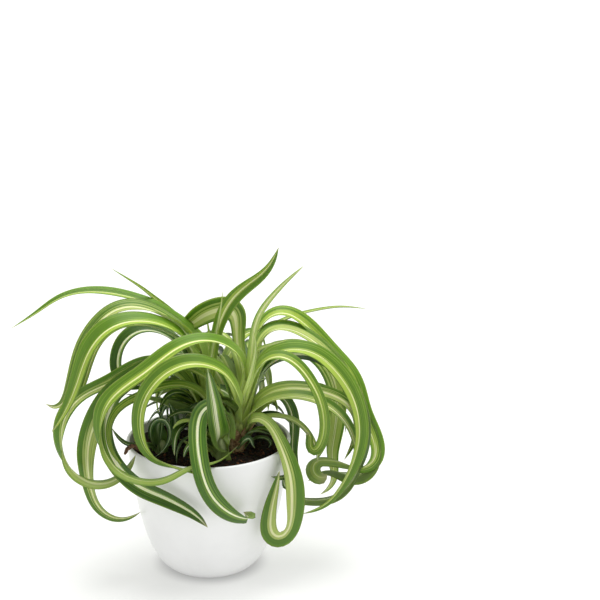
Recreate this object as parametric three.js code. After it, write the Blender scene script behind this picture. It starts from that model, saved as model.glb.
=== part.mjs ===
// A curly-leaved spider plant in a plain white pot. Millimetres, +Z up, origin at the middle
// of the pot's underside. The front of the plant faces -Y.
//
// Each leaf is a closed ribbon: a shallow gutter that is thickest along its midrib, runs out
// to two thin edges and ends in one point. Its midrib is a route of hand-chosen places, each
// written [x, z, depth]: x and z are measured on an upright sheet through the pot's axis, as
// seen from EYE, and depth is how far behind that sheet (or, if negative, in front of it) the
// leaf passes on the same line of sight.
import * as THREE from "three";
import { mergeVertices } from "three/addons/utils/BufferGeometryUtils.js";

// ---- driving dimensions -------------------------------------------------------------------
const RIM_RADIUS = 67.5;
const POT_HEIGHT = 112;
const SHOULDER_RADIUS = 64;
const SHOULDER_HEIGHT = 85;
const FOOT_RADIUS = 27;
const BELLY_RADIUS = 53; // where the side's curve would meet the surface the pot stands on
const WALL = 3;
const POT_SIDES = 48;
const SOIL_TOP = 104;
const GAP = 0.3;
const LEAF_THICKNESS = 1.1;
const GUTTER = 0.3; // how far the edges stand above the midrib, as a share of half the width
const BASE_SHARE = 0.38; // width where a leaf leaves its crown, as a share of its full width
const STEP = 8; // distance between the rings of a leaf
const CLEARANCE = 3.6; // kept between leaves that cross
const BASE_CLEARANCE = 0.5; // the share of it that is kept where leaves leave their crown
const EYE = new THREE.Vector3(0, -1298, 614.5);

// The shoots that the leaves grow from: foot on the soil, how far the top leans, size.
const CROWNS = {
  crown_main: { foot: [22, -10], lean: [9, 6], height: 46, radius: 6.5, top: 4.5 },
  crown_front: { foot: [11, -24], lean: [-1, -2], height: 13, radius: 5, top: 4 },
  crown_rear: { foot: [2, 14], lean: [0, 4], height: 38, radius: 6.5, top: 4.5 },
  crown_offset: { foot: [-39, -8], lean: [1, 0], height: 6, radius: 5, top: 4 },
};

// ---- the leaves ---------------------------------------------------------------------------
// crown, up (height on it), bearing (which side of it, 0 = +X, 90 = rear), width, route, and
// lean: angles along the leaf that its upper side turns away from the eye. 0 shows the upper
// side full on, 90 its edge, more than 90 the underside; positive turns it to the left-hand
// rim of a leaf that grows upwards in view.
const LEAVES = {
  spike_far_left: {
    crown: "crown_rear", up: 36, bearing: 228, width: 12, lean: [60, 65, 50, 40],
    route: [[-1, 170, 8], [-7, 198, 12], [-20, 211, 16], [-36, 223.5, 20], [-52, 232.5, 22],
      [-68, 237.5, 20], [-86, 240.5, 18], [-102, 240, 15], [-118, 235, 12], [-138, 221, 8],
      [-157, 209, 6]],
  },
  spike_up_left: {
    crown: "crown_rear", up: 37, bearing: 118, width: 7.5, lean: [60, 45, 30],
    route: [[4, 168, 32], [1, 191, 30], [-10, 205.5, 28], [-24, 216.5, 29], [-40, 231.5, 27],
      [-56, 244, 14], [-76, 258, 6]],
  },
  arch_left_outer: {
    crown: "crown_rear", up: 32, bearing: 190, width: 15.5, lean: [95, 100, 60, 45, 40],
    route: [[-5, 165, 16], [-9, 189, 12], [-18, 206, 6], [-33, 217.5, 2], [-50, 225, 0],
      [-66, 226, -2], [-79, 220.5, -4], [-90, 209.5, -6], [-99, 194, -8], [-105.5, 176, -10],
      [-112, 157, -10], [-118.5, 143, -8], [-126, 139, -6], [-132, 144, -4]],
  },
  arch_left_middle: {
    crown: "crown_rear", up: 28, bearing: 215, width: 18, lean: [95, 100, 50, 25, 15],
    route: [[-4, 158, 4], [-9, 183, -3], [-21, 202, -9], [-36, 211, -14], [-52, 214.5, -18],
      [-67, 213.5, -21], [-80, 208, -24], [-90, 199, -26], [-97.5, 187, -28], [-103.5, 171, -29],
      [-109, 155, -29], [-117, 137, -28], [-128, 119, -28]],
  },
  arch_left_inner: {
    crown: "crown_rear", up: 30, bearing: 142, width: 15, lean: [95, 90, 45, 25],
    route: [[-9, 164, 32], [-15, 189, 28], [-30, 203, 22], [-48, 210, 16], [-65, 211, 12],
      [-79, 204.5, 8], [-88, 194, 4], [-94, 181, 0], [-98.5, 167, -3], [-103, 154, -4],
      [-108.5, 144, -5], [-115, 135, -6]],
  },
  curl_left_dark: {
    crown: "crown_rear", up: 22, bearing: 166, width: 12, lean: [85, 75, 40, 30],
    route: [[-9, 156, 24], [-18, 186, 30], [-32, 202, 33], [-48, 207.5, 31], [-60, 204, 27],
      [-68.5, 196, 23], [-73, 185, 20], [-74, 174, 17], [-71, 163, 16], [-63, 157, 17],
      [-55, 158, 20]],
  },
  ring_left_low: {
    crown: "crown_rear", up: 20, bearing: 205, width: 12.5, lean: [85, 60, 40, 35, 130, 145],
    route: [[-12, 158, 4], [-22, 173, 0], [-38, 178, -5], [-52, 177, -9], [-66, 170, -10],
      [-80, 161.5, -11], [-96, 155, -14], [-109, 145, -21], [-118, 132, -23], [-121.5, 117, -25],
      [-121, 102, -27], [-117, 89, -29], [-108, 79, -31], [-96, 73, -33], [-84, 73, -35],
      [-73, 79, -37], [-65, 88, -39], [-60, 98, -41]],
  },
  hang_left: {
    crown: "crown_rear", up: 17, bearing: 235, width: 17.5, lean: [85, 70, 20, 5, 50, 50],
    route: [[-14, 155, -8], [-26, 169, -13], [-44, 173.5, -17], [-61, 167, -19], [-76, 158, -20],
      [-85, 149.5, -20], [-92, 139, -20], [-97, 126, -20], [-100, 112, -19], [-101, 98, -18],
      [-100.5, 84, -17], [-99, 71, -16], [-96.5, 60, -15], [-92, 50.5, -14], [-85, 44, -13],
      [-77, 40.5, -12], [-68, 41, -12], [-57, 47, -12]],
  },
  blade_over_pot: {
    crown: "crown_main", up: 30, bearing: 215, width: 16.5, lean: [80, 75, 35, 20, 15, 10],
    route: [[10, 168, -14], [-8, 181, -20], [-30, 181, -25], [-52, 170, -28], [-71, 157, -29],
      [-84, 143, -30], [-91, 127, -31], [-92, 110, -33], [-88, 95, -37], [-79, 82, -43],
      [-69, 72.5, -50], [-58, 65.5, -57], [-46, 60.5, -63], [-33, 54.5, -67], [-20, 47.5, -69],
      [-10, 40.5, -70], [-2, 31, -70]],
  },
  ring_large: {
    crown: "crown_main", up: 42, bearing: 190, width: 14, lean: [80, 70, 35, 30, 125, 130, 60],
    route: [[31, 167, -16], [26, 184, -22], [14, 193.5, -28], [0, 197, -33], [-14, 195, -37],
      [-28, 188.5, -40], [-41, 178.5, -42], [-54, 168, -43], [-68, 158.5, -43], [-80, 148, -43],
      [-87, 136, -44], [-89.5, 121, -45], [-88.5, 107, -47], [-83, 94, -50], [-74.5, 83.5, -54],
      [-63, 76.5, -60], [-50, 73.5, -66], [-37, 75, -71], [-26, 80, -74], [-15, 86, -74],
      [-4, 87.5, -71], [6, 89, -65], [15, 95, -54], [25, 105, -42]],
  },
  ring_front: {
    crown: "crown_main", up: 26, bearing: 235, width: 14.5, lean: [100, 75, 40, 30, 50, 130],
    route: [[27, 140, -34], [22, 157, -42], [13, 169.5, -48], [0, 176, -52], [-14, 177.5, -55],
      [-28, 173.5, -57], [-40, 165, -58], [-49, 154, -58], [-55, 141, -58], [-57, 127, -58],
      [-56, 113, -58], [-51.5, 101, -59], [-43, 92, -63], [-32, 87, -68], [-21, 84, -71],
      [-11, 80.5, -73], [-3, 77, -74]],
  },
  ring_inner: {
    crown: "crown_rear", up: 12, bearing: 260, width: 11.5, lean: [85, 60, 50, 40, 40],
    route: [[-2, 146, -14], [-12, 155, -20], [-25, 158, -26], [-38, 156, -30], [-50, 151, -33],
      [-62, 146, -35], [-72, 139.5, -36], [-79, 130, -37], [-81.5, 117, -38], [-80, 104, -40],
      [-74, 92, -42], [-66, 84, -43]],
  },
  hook_front: {
    crown: "crown_front", up: 9, bearing: 20, width: 16, lean: [120, 120, 60, 8, 5, 5, 0, 60, 170],
    route: [[19, 122, -32], [16, 134, -34], [8, 141, -36.5], [-1, 139.5, -41], [-7, 130, -52],
      [-9, 117, -63], [-8.5, 102, -72], [-7, 86, -79], [-3.5, 71, -80], [2.5, 58, -79],
      [11, 48.5, -77], [21, 42, -74], [30.5, 39, -71], [36, 40, -66], [34, 44, -62],
      [28, 47, -60]],
  },
  blade_centre: {
    crown: "crown_front", up: 11, bearing: 235, width: 18, lean: [30, 10, 5, 0],
    route: [[9, 112, -40], [7, 126, -51], [5, 142, -60], [2.5, 158, -65], [0, 172, -66]],
  },
  hairpin_front: {
    crown: "crown_main", up: 17, bearing: 325, width: 16,
    lean: [-80, -55, -35, -25, -25, -60, -35, -25, -20],
    route: [[35, 127, -24], [43, 129.5, -28], [51, 122.5, -32], [57, 111, -36], [62.5, 98, -41],
      [67, 84, -45], [70, 69, -47], [70.5, 53, -48], [70, 38, -48], [67, 24, -49],
      [61.5, 16.5, -52], [54.5, 16.5, -55], [50, 23, -56], [49.5, 36, -56], [51.5, 50, -55],
      [54.5, 63, -54], [57, 73, -53], [58.5, 81, -52]],
  },
  curl_right_low: {
    crown: "crown_main", up: 9, bearing: 320, width: 5, lean: [-70, -40, -30],
    route: [[36, 118, -22], [48, 119, -26], [57, 109, -30], [63, 97, -33], [67, 84, -35],
      [67, 76, -38], [60, 74, -43], [51, 76, -46]],
  },
  curl_right_tip: {
    crown: "crown_main", up: 6, bearing: 340, width: 4.5, lean: [-70, -40, 40],
    route: [[38, 119, -12], [52, 118, -17], [62, 108.5, -22], [67.5, 96, -25], [69.5, 83, -27],
      [68, 70, -28], [65, 61, -30], [61.5, 67, -33], [62, 78, -35]],
  },
  spike_highest: {
    crown: "crown_rear", up: 37, bearing: 300, width: 11, lean: [-40, -50, -30, 10, 30],
    route: [[4, 166, 4], [6, 188, 2], [9, 204, 0], [14, 218, -2], [22, 231, -3], [33, 241, -4],
      [44, 249, -5], [52, 258, -6], [56, 266, -6], [58.5, 273, -6]],
  },
  spike_right: {
    crown: "crown_main", up: 43.5, bearing: 292, width: 7, lean: [-40, -30, -20, 10],
    route: [[34, 167, -18], [36.5, 186, -19], [38, 203, -19], [43, 218, -18], [51, 229.5, -16],
      [63, 243, -13], [79, 257.5, -10]],
  },
  spike_pale: {
    crown: "crown_rear", up: 36, bearing: 250, width: 4, lean: [-30, -20, 0],
    route: [[1, 168, -4], [5, 190, -9], [8.5, 206, -11], [11.5, 222, -12], [13.5, 238, -12]],
  },
  spike_thin: {
    crown: "crown_rear", up: 36, bearing: 52, width: 3.6, lean: [30, 10, 0],
    route: [[2, 170, 34], [3, 192, 34], [1.5, 205, 32], [0, 216, 30]],
  },
  loop_top: {
    crown: "crown_main", up: 40, bearing: 140, width: 20, lean: [60, 60, 45, 5, 0, 30],
    route: [[30, 168, 10], [28, 188, 14], [30, 205, 15], [28, 217.5, 13], [20, 223.5, 12],
      [8, 222, 12], [-4, 217, 14], [-14, 210, 20], [-24, 201, 28]],
  },
  arch_right_top: {
    crown: "crown_main", up: 39, bearing: 70, width: 14,
    lean: [-80, -80, -60, -45, -45, -20, -40, -120, -130],
    route: [[36, 170, 16], [39, 194, 24], [46, 211.5, 28], [57, 220, 30], [69, 219, 30],
      [81, 211, 29], [92, 200.5, 27], [102, 189.5, 24], [111, 179.5, 21], [118.5, 170, 18],
      [124, 158, 15], [127, 145, 13], [130, 132, 11], [135, 120, 9], [139.5, 108, 7],
      [141, 97, 5], [138.5, 87.5, 3], [131, 82, 1], [121, 82, -1], [110.5, 87, -3],
      [98, 90, -5], [86, 88.5, -7], [77.5, 83, -9], [73, 75, -10]],
  },
  tip_far_right: {
    crown: "crown_main", up: 45, bearing: 92, width: 6.5, lean: [-80, -70, -60],
    route: [[36, 176, 34], [44, 198, 48], [58, 210, 58], [74, 216.5, 64], [92, 220.5, 68],
      [110, 222.5, 70], [130, 220, 70]],
  },
  arch_right_grey: {
    crown: "crown_main", up: 38, bearing: 26, width: 16, lean: [-80, -70, -55, -40],
    route: [[39, 168, 8], [41, 189, 12], [50, 201, 16], [64, 203.5, 18], [78, 199, 19],
      [91, 190.5, 18], [102, 180, 15], [111, 168, 11], [118, 154, 8], [121, 140, 6]],
  },
  arch_right_bright: {
    crown: "crown_main", up: 32, bearing: 320, width: 18.5,
    lean: [-85, -65, -40, -25, -30, -50, -50],
    route: [[41, 166, -10], [47, 180, -12], [60, 187, -12], [74, 188, -13], [87, 184.5, -14],
      [99, 176, -15], [109, 165, -16], [117, 152, -17], [122.5, 138, -18], [125.5, 123, -19],
      [126, 108, -20], [123, 93, -21], [118, 79, -23], [111, 66, -25], [103, 54.5, -27],
      [92, 46, -29], [77, 41.5, -31]],
  },
  ring_right_tall: {
    crown: "crown_main", up: 37, bearing: 270, width: 14, lean: [-95, -80, -50, -35, -30, -20],
    route: [[37, 162, -27], [43, 175, -30], [55, 182.5, -31], [67, 179, -35], [77, 170, -38],
      [85, 158, -40], [91.5, 144, -41], [95, 129, -42], [95.5, 115, -41], [92.5, 103, -39],
      [87, 95, -36], [83, 100, -34], [83.5, 111, -33]],
  },
  ring_right_low: {
    crown: "crown_main", up: 29, bearing: 22, width: 12, lean: [-80, -70, -50, -40, -110, -135],
    route: [[45, 170, 9], [62, 184, 6], [84, 184, 4], [104, 172, 2], [118, 154, -1],
      [126, 134, -4], [129.5, 114, -6], [128.5, 94, -8], [124, 78, -10], [116, 64.5, -12],
      [106, 56, -14], [94, 53, -16], [82, 53.5, -18], [71, 55, -19]],
  },
  arch_right_low_back: {
    crown: "crown_main", up: 23, bearing: 354, width: 13.5, lean: [-75, -50, -40, -40, -30],
    route: [[40, 143, -8], [51, 151, -12], [64, 154, -15], [78, 153.5, -16], [92, 150.5, -16],
      [106, 145.5, -12], [117, 137, -6], [122, 125, 0], [121, 111, 4], [117.5, 99, 6],
      [112, 89, 7]],
  },
  arch_right_low_front: {
    crown: "crown_main", up: 26, bearing: 308, width: 13.5, lean: [-80, -60, -50, -35, -30],
    route: [[38, 136, -22], [50, 143.5, -26], [64, 146.5, -29], [78, 146, -30],
      [92, 141.5, -28], [104, 134, -24], [113.5, 123.5, -18], [119.5, 111, -12], [122, 98, -8],
      [121, 86, -5]],
  },
  arch_right_cream: {
    crown: "crown_main", up: 15, bearing: 357, width: 13, lean: [-85, -85, -70, -60, -60],
    route: [[40, 128, -8], [52, 129.5, -12], [63, 128, -16], [73, 123.5, -19], [81, 115, -22],
      [87, 105, -24], [90, 95, -25], [90, 87, -25]],
  },
  hang_right_pale: {
    crown: "crown_main", up: 32, bearing: 56, width: 16, lean: [-80, -70, -30, -10, -30, -60],
    route: [[46, 180, 30], [64, 189, 38], [84, 184, 42], [96, 173, 44], [103, 159, 44],
      [106, 144, 42], [106, 129, 38], [104.5, 115, 33], [102, 101, 28], [102, 87, 24],
      [104.5, 75, 20], [101, 65.5, 17], [92, 58.5, 14]],
  },
  ring_right_outer: {
    crown: "crown_main", up: 26.5, bearing: 47, width: 14, lean: [-80, -70, -50, -50, -110, -140, -60],
    route: [[48, 172, 16], [70, 182, 20], [92, 178, 20], [110, 164, 18], [123, 146, 15],
      [131, 127, 13], [136, 110, 11], [138, 94, 9], [134, 80, 7], [124, 73, 6], [112, 75, 6],
      [101, 80, 6], [91, 77.5, 6], [82, 71, 6]],
  },
  hang_right_dark: {
    crown: "crown_main", up: 20, bearing: 16, width: 12.5, lean: [-75, -60, -25, -30, -40],
    route: [[42, 146, 4], [54, 150.5, 9], [64, 144, 12], [69.5, 131, 14], [70.5, 117, 14],
      [69.5, 103, 14], [71, 90, 13], [75, 81, 12]],
  },
  tip_right_pale: {
    crown: "crown_main", up: 44.5, bearing: 150, width: 4.5, lean: [-60, -40, 0],
    route: [[31, 168, -3], [36, 184, -9], [48, 190, -16], [66, 195, -22]],
  },
  blade_upright_pale: {
    crown: "crown_main", up: 38, bearing: 238, width: 4.6, lean: [-20, 0, 0],
    route: [[34.5, 161, -35], [38, 177, -39], [40, 191, -38], [37.5, 204, -38]],
  },
  leaf_inner_left: {
    crown: "crown_rear", up: 8, bearing: 225, width: 14, lean: [120, 130, 110, 70],
    route: [[-10, 128, -2], [-22, 136.5, -8], [-36, 143, -14], [-48, 146.5, -17],
      [-59, 150, -18], [-67, 151, -18]],
  },
  leaf_inner_short: {
    crown: "crown_rear", up: 14, bearing: 190, width: 9, lean: [60, 30, 20],
    route: [[-9, 135, 6], [-19, 143, 4], [-33, 151.5, 2]],
  },
  curl_by_crown_top: {
    crown: "crown_main", up: 8, bearing: 290, width: 4.6, lean: [-60, -70, -60],
    route: [[32, 114.5, -25], [42, 116, -27], [53, 112, -28]],
  },
  curl_by_crown_hook: {
    crown: "crown_main", up: 3.5, bearing: 275, width: 4.4, lean: [-40, -20, 0],
    route: [[30, 109, -26], [36, 112.5, -27], [35, 106, -29], [38.5, 101, -30]],
  },
  curl_by_crown_low: {
    crown: "crown_main", up: 2.5, bearing: 345, width: 5.4, lean: [-60, -60, -40],
    route: [[33, 107, -12], [41, 111, -15], [49, 109.5, -18], [52.5, 104.5, -20],
      [49, 101.5, -22]],
  },
  leaf_on_soil: {
    crown: "crown_front", up: 3, bearing: 190, width: 6, lean: [70, 50, 40],
    route: [[-4, 102, -28], [-13, 104.5, -30], [-24, 111, -31]],
  },
  offset_blade: {
    crown: "crown_offset", up: 4.5, bearing: 350, width: 7, lean: [-20, -10, 0],
    route: [[-29.5, 112, -12], [-27, 123, -14], [-28, 134, -14], [-32, 143, -13]],
  },
  offset_ring: {
    crown: "crown_offset", up: 4, bearing: 200, width: 7, lean: [50, 50, 50, 50],
    route: [[-47, 111, -20], [-48, 121, -24], [-42, 130, -27], [-34.5, 129, -28],
      [-30.5, 119, -28], [-32.5, 108, -28], [-38, 99.5, -29], [-45, 95, -30]],
  },
  offset_heart: {
    crown: "crown_offset", up: 4.5, bearing: 110, width: 11, lean: [20, 10, 10],
    route: [[-41, 113, -6], [-42, 122, -7], [-37, 131, -8]],
  },
  offset_strand: {
    crown: "crown_offset", up: 3, bearing: 250, width: 3.4, lean: [30, 20, 20],
    route: [[-41, 104, -17], [-39, 118, -18], [-38, 135, -19], [-41.5, 139, -20],
      [-46, 131, -21], [-50.5, 123.5, -22]],
  },
  offset_over_rim: {
    crown: "crown_offset", up: 3, bearing: 180, width: 5.6, lean: [60, 50, 40],
    route: [[-50, 105.5, -18], [-57.5, 105, -21], [-63.5, 105, -22], [-69, 107.5, -22],
      [-74.5, 113.5, -20], [-79, 122, -18]],
  },
  arch_back_left: {
    crown: "crown_rear", up: 33, bearing: 120, width: 12, lean: [80, 70, 60],
    route: [[-4, 172, 44], [-14, 184, 66], [-28, 183, 84], [-41, 172, 96], [-50, 156, 102],
      [-53, 140, 104]],
  },
  arch_back_middle: {
    crown: "crown_rear", up: 31, bearing: 80, width: 12, lean: [60, 60, 50],
    route: [[5, 174, 50], [8, 187, 74], [10, 184, 98], [11, 172, 112], [11, 158, 118]],
  },
  arch_back_right: {
    crown: "crown_main", up: 34, bearing: 75, width: 12, lean: [-80, -70, -50],
    route: [[42, 180, 46], [56, 191, 70], [74, 190, 90], [90, 182, 100], [102, 170, 104],
      [107, 155, 104]],
  },
  arch_back_high: {
    crown: "crown_rear", up: 36, bearing: 98, width: 10, lean: [80, 80, 60],
    route: [[-2, 184, 50], [-17, 203, 62], [-36, 212, 72], [-56, 213, 80], [-72, 207, 82],
      [-84, 197, 80]],
  },
};

// The withered stub of an old runner, from the soil out over the rim: route and radii.
const STUB_ROUTE = [[-50, 99, -23], [-56, 102.5, -26], [-62, 105.5, -29], [-66.5, 103.5, -31],
  [-69, 98.5, -32]];
const STUB_RADII = [2.2, 2, 1.9, 1.6, 1.3];

// ---- shaping helpers ----------------------------------------------------------------------
// A place on the upright sheet, moved back along its line of sight by a depth.
function seen([x, z, depth]) {
  const onSheet = new THREE.Vector3(x, 0, z);
  return EYE.clone().lerp(onSheet, 1 - depth / EYE.y);
}

// A smooth step from 0 to 1 as x goes from 0 to 1.
function ease(x) {
  const t = Math.min(Math.max(x, 0), 1);
  return t * t * (3 - 2 * t);
}

// The value at share u of an even list of values.
function along(list, u) {
  const place = Math.min(Math.max(u, 0), 1) * (list.length - 1);
  const k = Math.min(Math.floor(place), list.length - 2);
  return list[k] + (list[k + 1] - list[k]) * (place - k);
}

// A closed mesh over rings of points: a flat cap on the first, a single point after the last.
// The diagonals of neighbouring strips lean opposite ways.
function skin(rings, tip) {
  const sides = rings[0].length;
  const points = [...rings.flat(), tip];
  const faces = [];
  for (let k = 1; k < sides - 1; k++) faces.push(0, k + 1, k);
  for (let r = 0; r < rings.length - 1; r++) {
    for (let k = 0; k < sides; k++) {
      const a = r * sides + k;
      const b = r * sides + ((k + 1) % sides);
      if (k % 2 === 0) faces.push(a, b, a + sides, b, b + sides, a + sides);
      else faces.push(a, b, b + sides, a, b + sides, a + sides);
    }
  }
  const last = (rings.length - 1) * sides;
  for (let k = 0; k < sides; k++) faces.push(last + k, last + ((k + 1) % sides), points.length - 1);
  const geometry = new THREE.BufferGeometry().setFromPoints(points);
  geometry.setIndex(faces);
  geometry.computeVertexNormals();
  return geometry;
}

// A lathe turned about the pot's axis, from a profile of [radius, height] pairs.
function turned(profile) {
  const points = profile.map(([r, z]) => new THREE.Vector2(r, z));
  const geometry = new THREE.LatheGeometry(points, POT_SIDES).rotateX(Math.PI / 2);
  geometry.deleteAttribute("normal");
  geometry.deleteAttribute("uv");
  const closed = mergeVertices(geometry, 1e-3);
  closed.computeVertexNormals();
  return closed;
}

// ---- pot and soil -------------------------------------------------------------------------
const BELLY_STEPS = 12;
const FLOOR = 4;
const RIM_ROUNDING = 1.2;

// The side of the pot from its foot to its shoulder, moved inwards by an amount.
function belly(inset, footHeight) {
  const curve = new THREE.QuadraticBezierCurve(
    new THREE.Vector2(FOOT_RADIUS - inset, footHeight),
    new THREE.Vector2(BELLY_RADIUS - inset, footHeight),
    new THREE.Vector2(SHOULDER_RADIUS - inset, SHOULDER_HEIGHT),
  );
  return curve.getPoints(BELLY_STEPS).map((p) => [p.x, p.y]);
}

// The inner radius of the collar above the shoulder at a height.
function collarRadius(z) {
  const share = (z - SHOULDER_HEIGHT) / (POT_HEIGHT - SHOULDER_HEIGHT);
  return SHOULDER_RADIUS + (RIM_RADIUS - SHOULDER_RADIUS) * share - WALL;
}

function potGeometry() {
  const top = POT_HEIGHT;
  const low = POT_HEIGHT - RIM_ROUNDING;
  return turned([
    [0, 0],
    ...belly(0, 0),
    [RIM_RADIUS - 0.1, low],
    [RIM_RADIUS - 0.5 * RIM_ROUNDING, top - 0.2],
    [RIM_RADIUS - RIM_ROUNDING, top],
    [RIM_RADIUS - WALL + 0.5 * RIM_ROUNDING, top - 0.2],
    [RIM_RADIUS - WALL, low],
    ...belly(WALL, FLOOR).reverse(),
    [0, FLOOR],
  ]);
}

function soilGeometry() {
  return turned([
    [0, FLOOR + GAP],
    ...belly(WALL + GAP, FLOOR + GAP),
    [collarRadius(SOIL_TOP) - GAP, SOIL_TOP],
    [0, SOIL_TOP],
  ]);
}

// ---- crowns -------------------------------------------------------------------------------
const CROWN_SIDES = 12;
const CROWN_LEVELS = [0, 0.3, 0.6, 0.8, 1];
const CROWN_TIP = 2; // from the last ring up to the point that closes a crown

// The middle and radius of a crown at a height above its foot.
function crownAt({ foot, lean, height, radius, top }, up) {
  const share = up / height;
  const middle = new THREE.Vector3(
    foot[0] + lean[0] * share,
    foot[1] + lean[1] * share,
    SOIL_TOP + GAP + up,
  );
  return { middle, radius: radius + (top - radius) * share };
}

// A ring of points round a crown at a height above its foot.
function crownRing(crown, up) {
  const { middle, radius } = crownAt(crown, up);
  return Array.from({ length: CROWN_SIDES }, (_, k) => {
    const angle = (2 * Math.PI * k) / CROWN_SIDES;
    const outward = new THREE.Vector3(Math.cos(angle), Math.sin(angle), 0);
    return middle.clone().addScaledVector(outward, radius);
  });
}

function crownGeometry(crown) {
  const rings = CROWN_LEVELS.map((share) => crownRing(crown, share * crown.height));
  return skin(rings, crownAt(crown, crown.height + CROWN_TIP).middle);
}

// ---- leaves -------------------------------------------------------------------------------
const OFF_CROWN = 0.9; // from the crown's skin to the midrib of a leaf's first ring
const HUG = 16; // length over which a leaf turns from lying against its crown to its own lean
const FULL_AT = 0.36; // share of the length where a leaf reaches its full width

// The smooth midrib of a leaf before it is settled, starting against its crown.
function midrib({ crown, up, bearing, route }) {
  const { middle, radius } = crownAt(CROWNS[crown], up);
  const angle = THREE.MathUtils.degToRad(bearing);
  const outward = new THREE.Vector3(Math.cos(angle), Math.sin(angle), 0);
  const start = middle.addScaledVector(outward, radius + OFF_CROWN);
  const points = [start, ...route.map(seen)];
  return { curve: new THREE.CatmullRomCurve3(points, false, "centripetal"), outward };
}

// Across and upper-side directions of a leaf at a place on its midrib.
function frameAt(place, ahead, reach, share, leaf, outward) {
  const toEye = EYE.clone().sub(place).normalize();
  const side = ahead.clone().cross(toEye).normalize();
  const facing = side.clone().cross(ahead);
  const turn = THREE.MathUtils.degToRad(along(leaf.lean, share));
  const upper = facing.multiplyScalar(Math.cos(turn)).addScaledVector(side, Math.sin(turn));
  upper.lerp(outward.clone().negate(), 1 - ease(reach / HUG));
  upper.addScaledVector(ahead, -upper.dot(ahead)).normalize();
  return { upper, across: ahead.clone().cross(upper) };
}

// Half the width of a leaf at a share of its length.
function halfWidth(leaf, share) {
  const grown = BASE_SHARE + (1 - BASE_SHARE) * ease(share / FULL_AT);
  return 0.5 * leaf.width * grown * (1 - share ** 2.6) ** 0.85;
}

const SETTLE_STEP = 4.5;
const SETTLE_PASSES = 90;
const SETTLE_RATE = 0.6; // share of each slide that one pass takes
const SMOOTHING = 4; // times that the slides of a leaf are averaged along it
const ACROSS = [-0.9, -0.45, 0, 0.45, 0.9];
const ROOTED = 16; // length over which a leaf becomes free to shift

// Stations along a leaf, each of which may slide on its own line of sight.
function stationsOf(leaf) {
  const { curve, outward } = midrib(leaf);
  const length = curve.getLength();
  const count = Math.max(6, Math.round(length / SETTLE_STEP));
  const points = curve.getSpacedPoints(count);
  return points.map((place, k) => {
    const sight = place.clone().sub(EYE);
    return {
      leaf, outward, place, share: k / count, reach: (length * k) / count,
      order: sight.length(), sight: sight.normalize(),
      free: ease((length * k) / count / ROOTED), push: [0, 0],
    };
  });
}

// Sample points over the blade at each station of a leaf.
function samplesOf(stations) {
  const places = stations.map((s) => s.place);
  return stations.flatMap((station, k) => {
    const before = places[Math.max(k - 1, 0)];
    const after = places[Math.min(k + 1, places.length - 1)];
    const ahead = after.clone().sub(before).normalize();
    const { leaf, outward, place, share, reach } = station;
    const { upper, across } = frameAt(place, ahead, reach, share, leaf, outward);
    const half = halfWidth(leaf, share);
    return ACROSS.map((a) => ({
      station,
      at: place.clone().addScaledVector(across, a * half)
        .addScaledVector(upper, (Math.abs(a) - 0.5) * GUTTER * half),
    }));
  });
}

// Samples over the skin of a crown, which stay where they are.
function crownSamples(crown) {
  const levels = Math.ceil(crown.height / SETTLE_STEP);
  const rings = Array.from({ length: levels + 1 }, (_, k) =>
    crownRing(crown, (crown.height * k) / levels));
  return rings.flat().map((at) => ({
    station: { leaf: crown, order: at.distanceTo(EYE), free: 0, push: [0, 0] },
    at,
  }));
}

// Pairs of near samples that belong to different leaves, or far apart on the same one.
function crossings(samples) {
  const key = (x, y, z) => (x * 1009 + y) * 1009 + z;
  const cell = ({ at }) => [at.x, at.y, at.z].map((v) => Math.floor(v / CLEARANCE));
  const cells = new Map();
  for (const sample of samples) {
    sample.cell = cell(sample);
    const k = key(...sample.cell);
    if (!cells.has(k)) cells.set(k, []);
    cells.get(k).push(sample);
  }
  const pairs = [];
  for (const sample of samples) {
    const [x, y, z] = sample.cell;
    for (let k = 0; k < 27; k++) {
      const near = cells.get(key(x + (k % 3) - 1, y + (Math.floor(k / 3) % 3) - 1,
        z + Math.floor(k / 9) - 1)) ?? [];
      for (const other of near) {
        const a = sample.station;
        const b = other.station;
        const apart = a.leaf !== b.leaf || Math.abs(a.reach - b.reach) > ROOTED;
        if (apart && a.order > b.order) pairs.push([sample, other]);
      }
    }
  }
  return pairs;
}

// Slides crossing leaves apart along the lines of sight, the nearer one forwards and the
// farther one back, until they keep their clearance. Their outlines in view stay put.
function settle(all) {
  const fixed = Object.values(CROWNS).flatMap(crownSamples);
  for (let pass = 0; pass < SETTLE_PASSES; pass++) {
    for (const [far, near] of crossings([...fixed, ...all.flatMap(samplesOf)])) {
      const rooted = Math.min(far.station.free, near.station.free);
      const wanted = CLEARANCE * (BASE_CLEARANCE + (1 - BASE_CLEARANCE) * rooted);
      const short = wanted - far.at.distanceTo(near.at);
      if (short <= 0) continue;
      far.station.push[0] = Math.max(far.station.push[0], short);
      near.station.push[1] = Math.max(near.station.push[1], short);
    }
    for (const stations of all) {
      let slide = stations.map((s) => s.push[0] - s.push[1]);
      for (let k = 0; k < SMOOTHING; k++) {
        slide = slide.map((v, i) =>
          0.5 * v + 0.25 * (slide[i - 1] ?? v) + 0.25 * (slide[i + 1] ?? v));
      }
      stations.forEach((s, i) => {
        s.place.addScaledVector(s.sight, SETTLE_RATE * slide[i] * s.free);
        s.push = [0, 0];
      });
    }
  }
}

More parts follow.
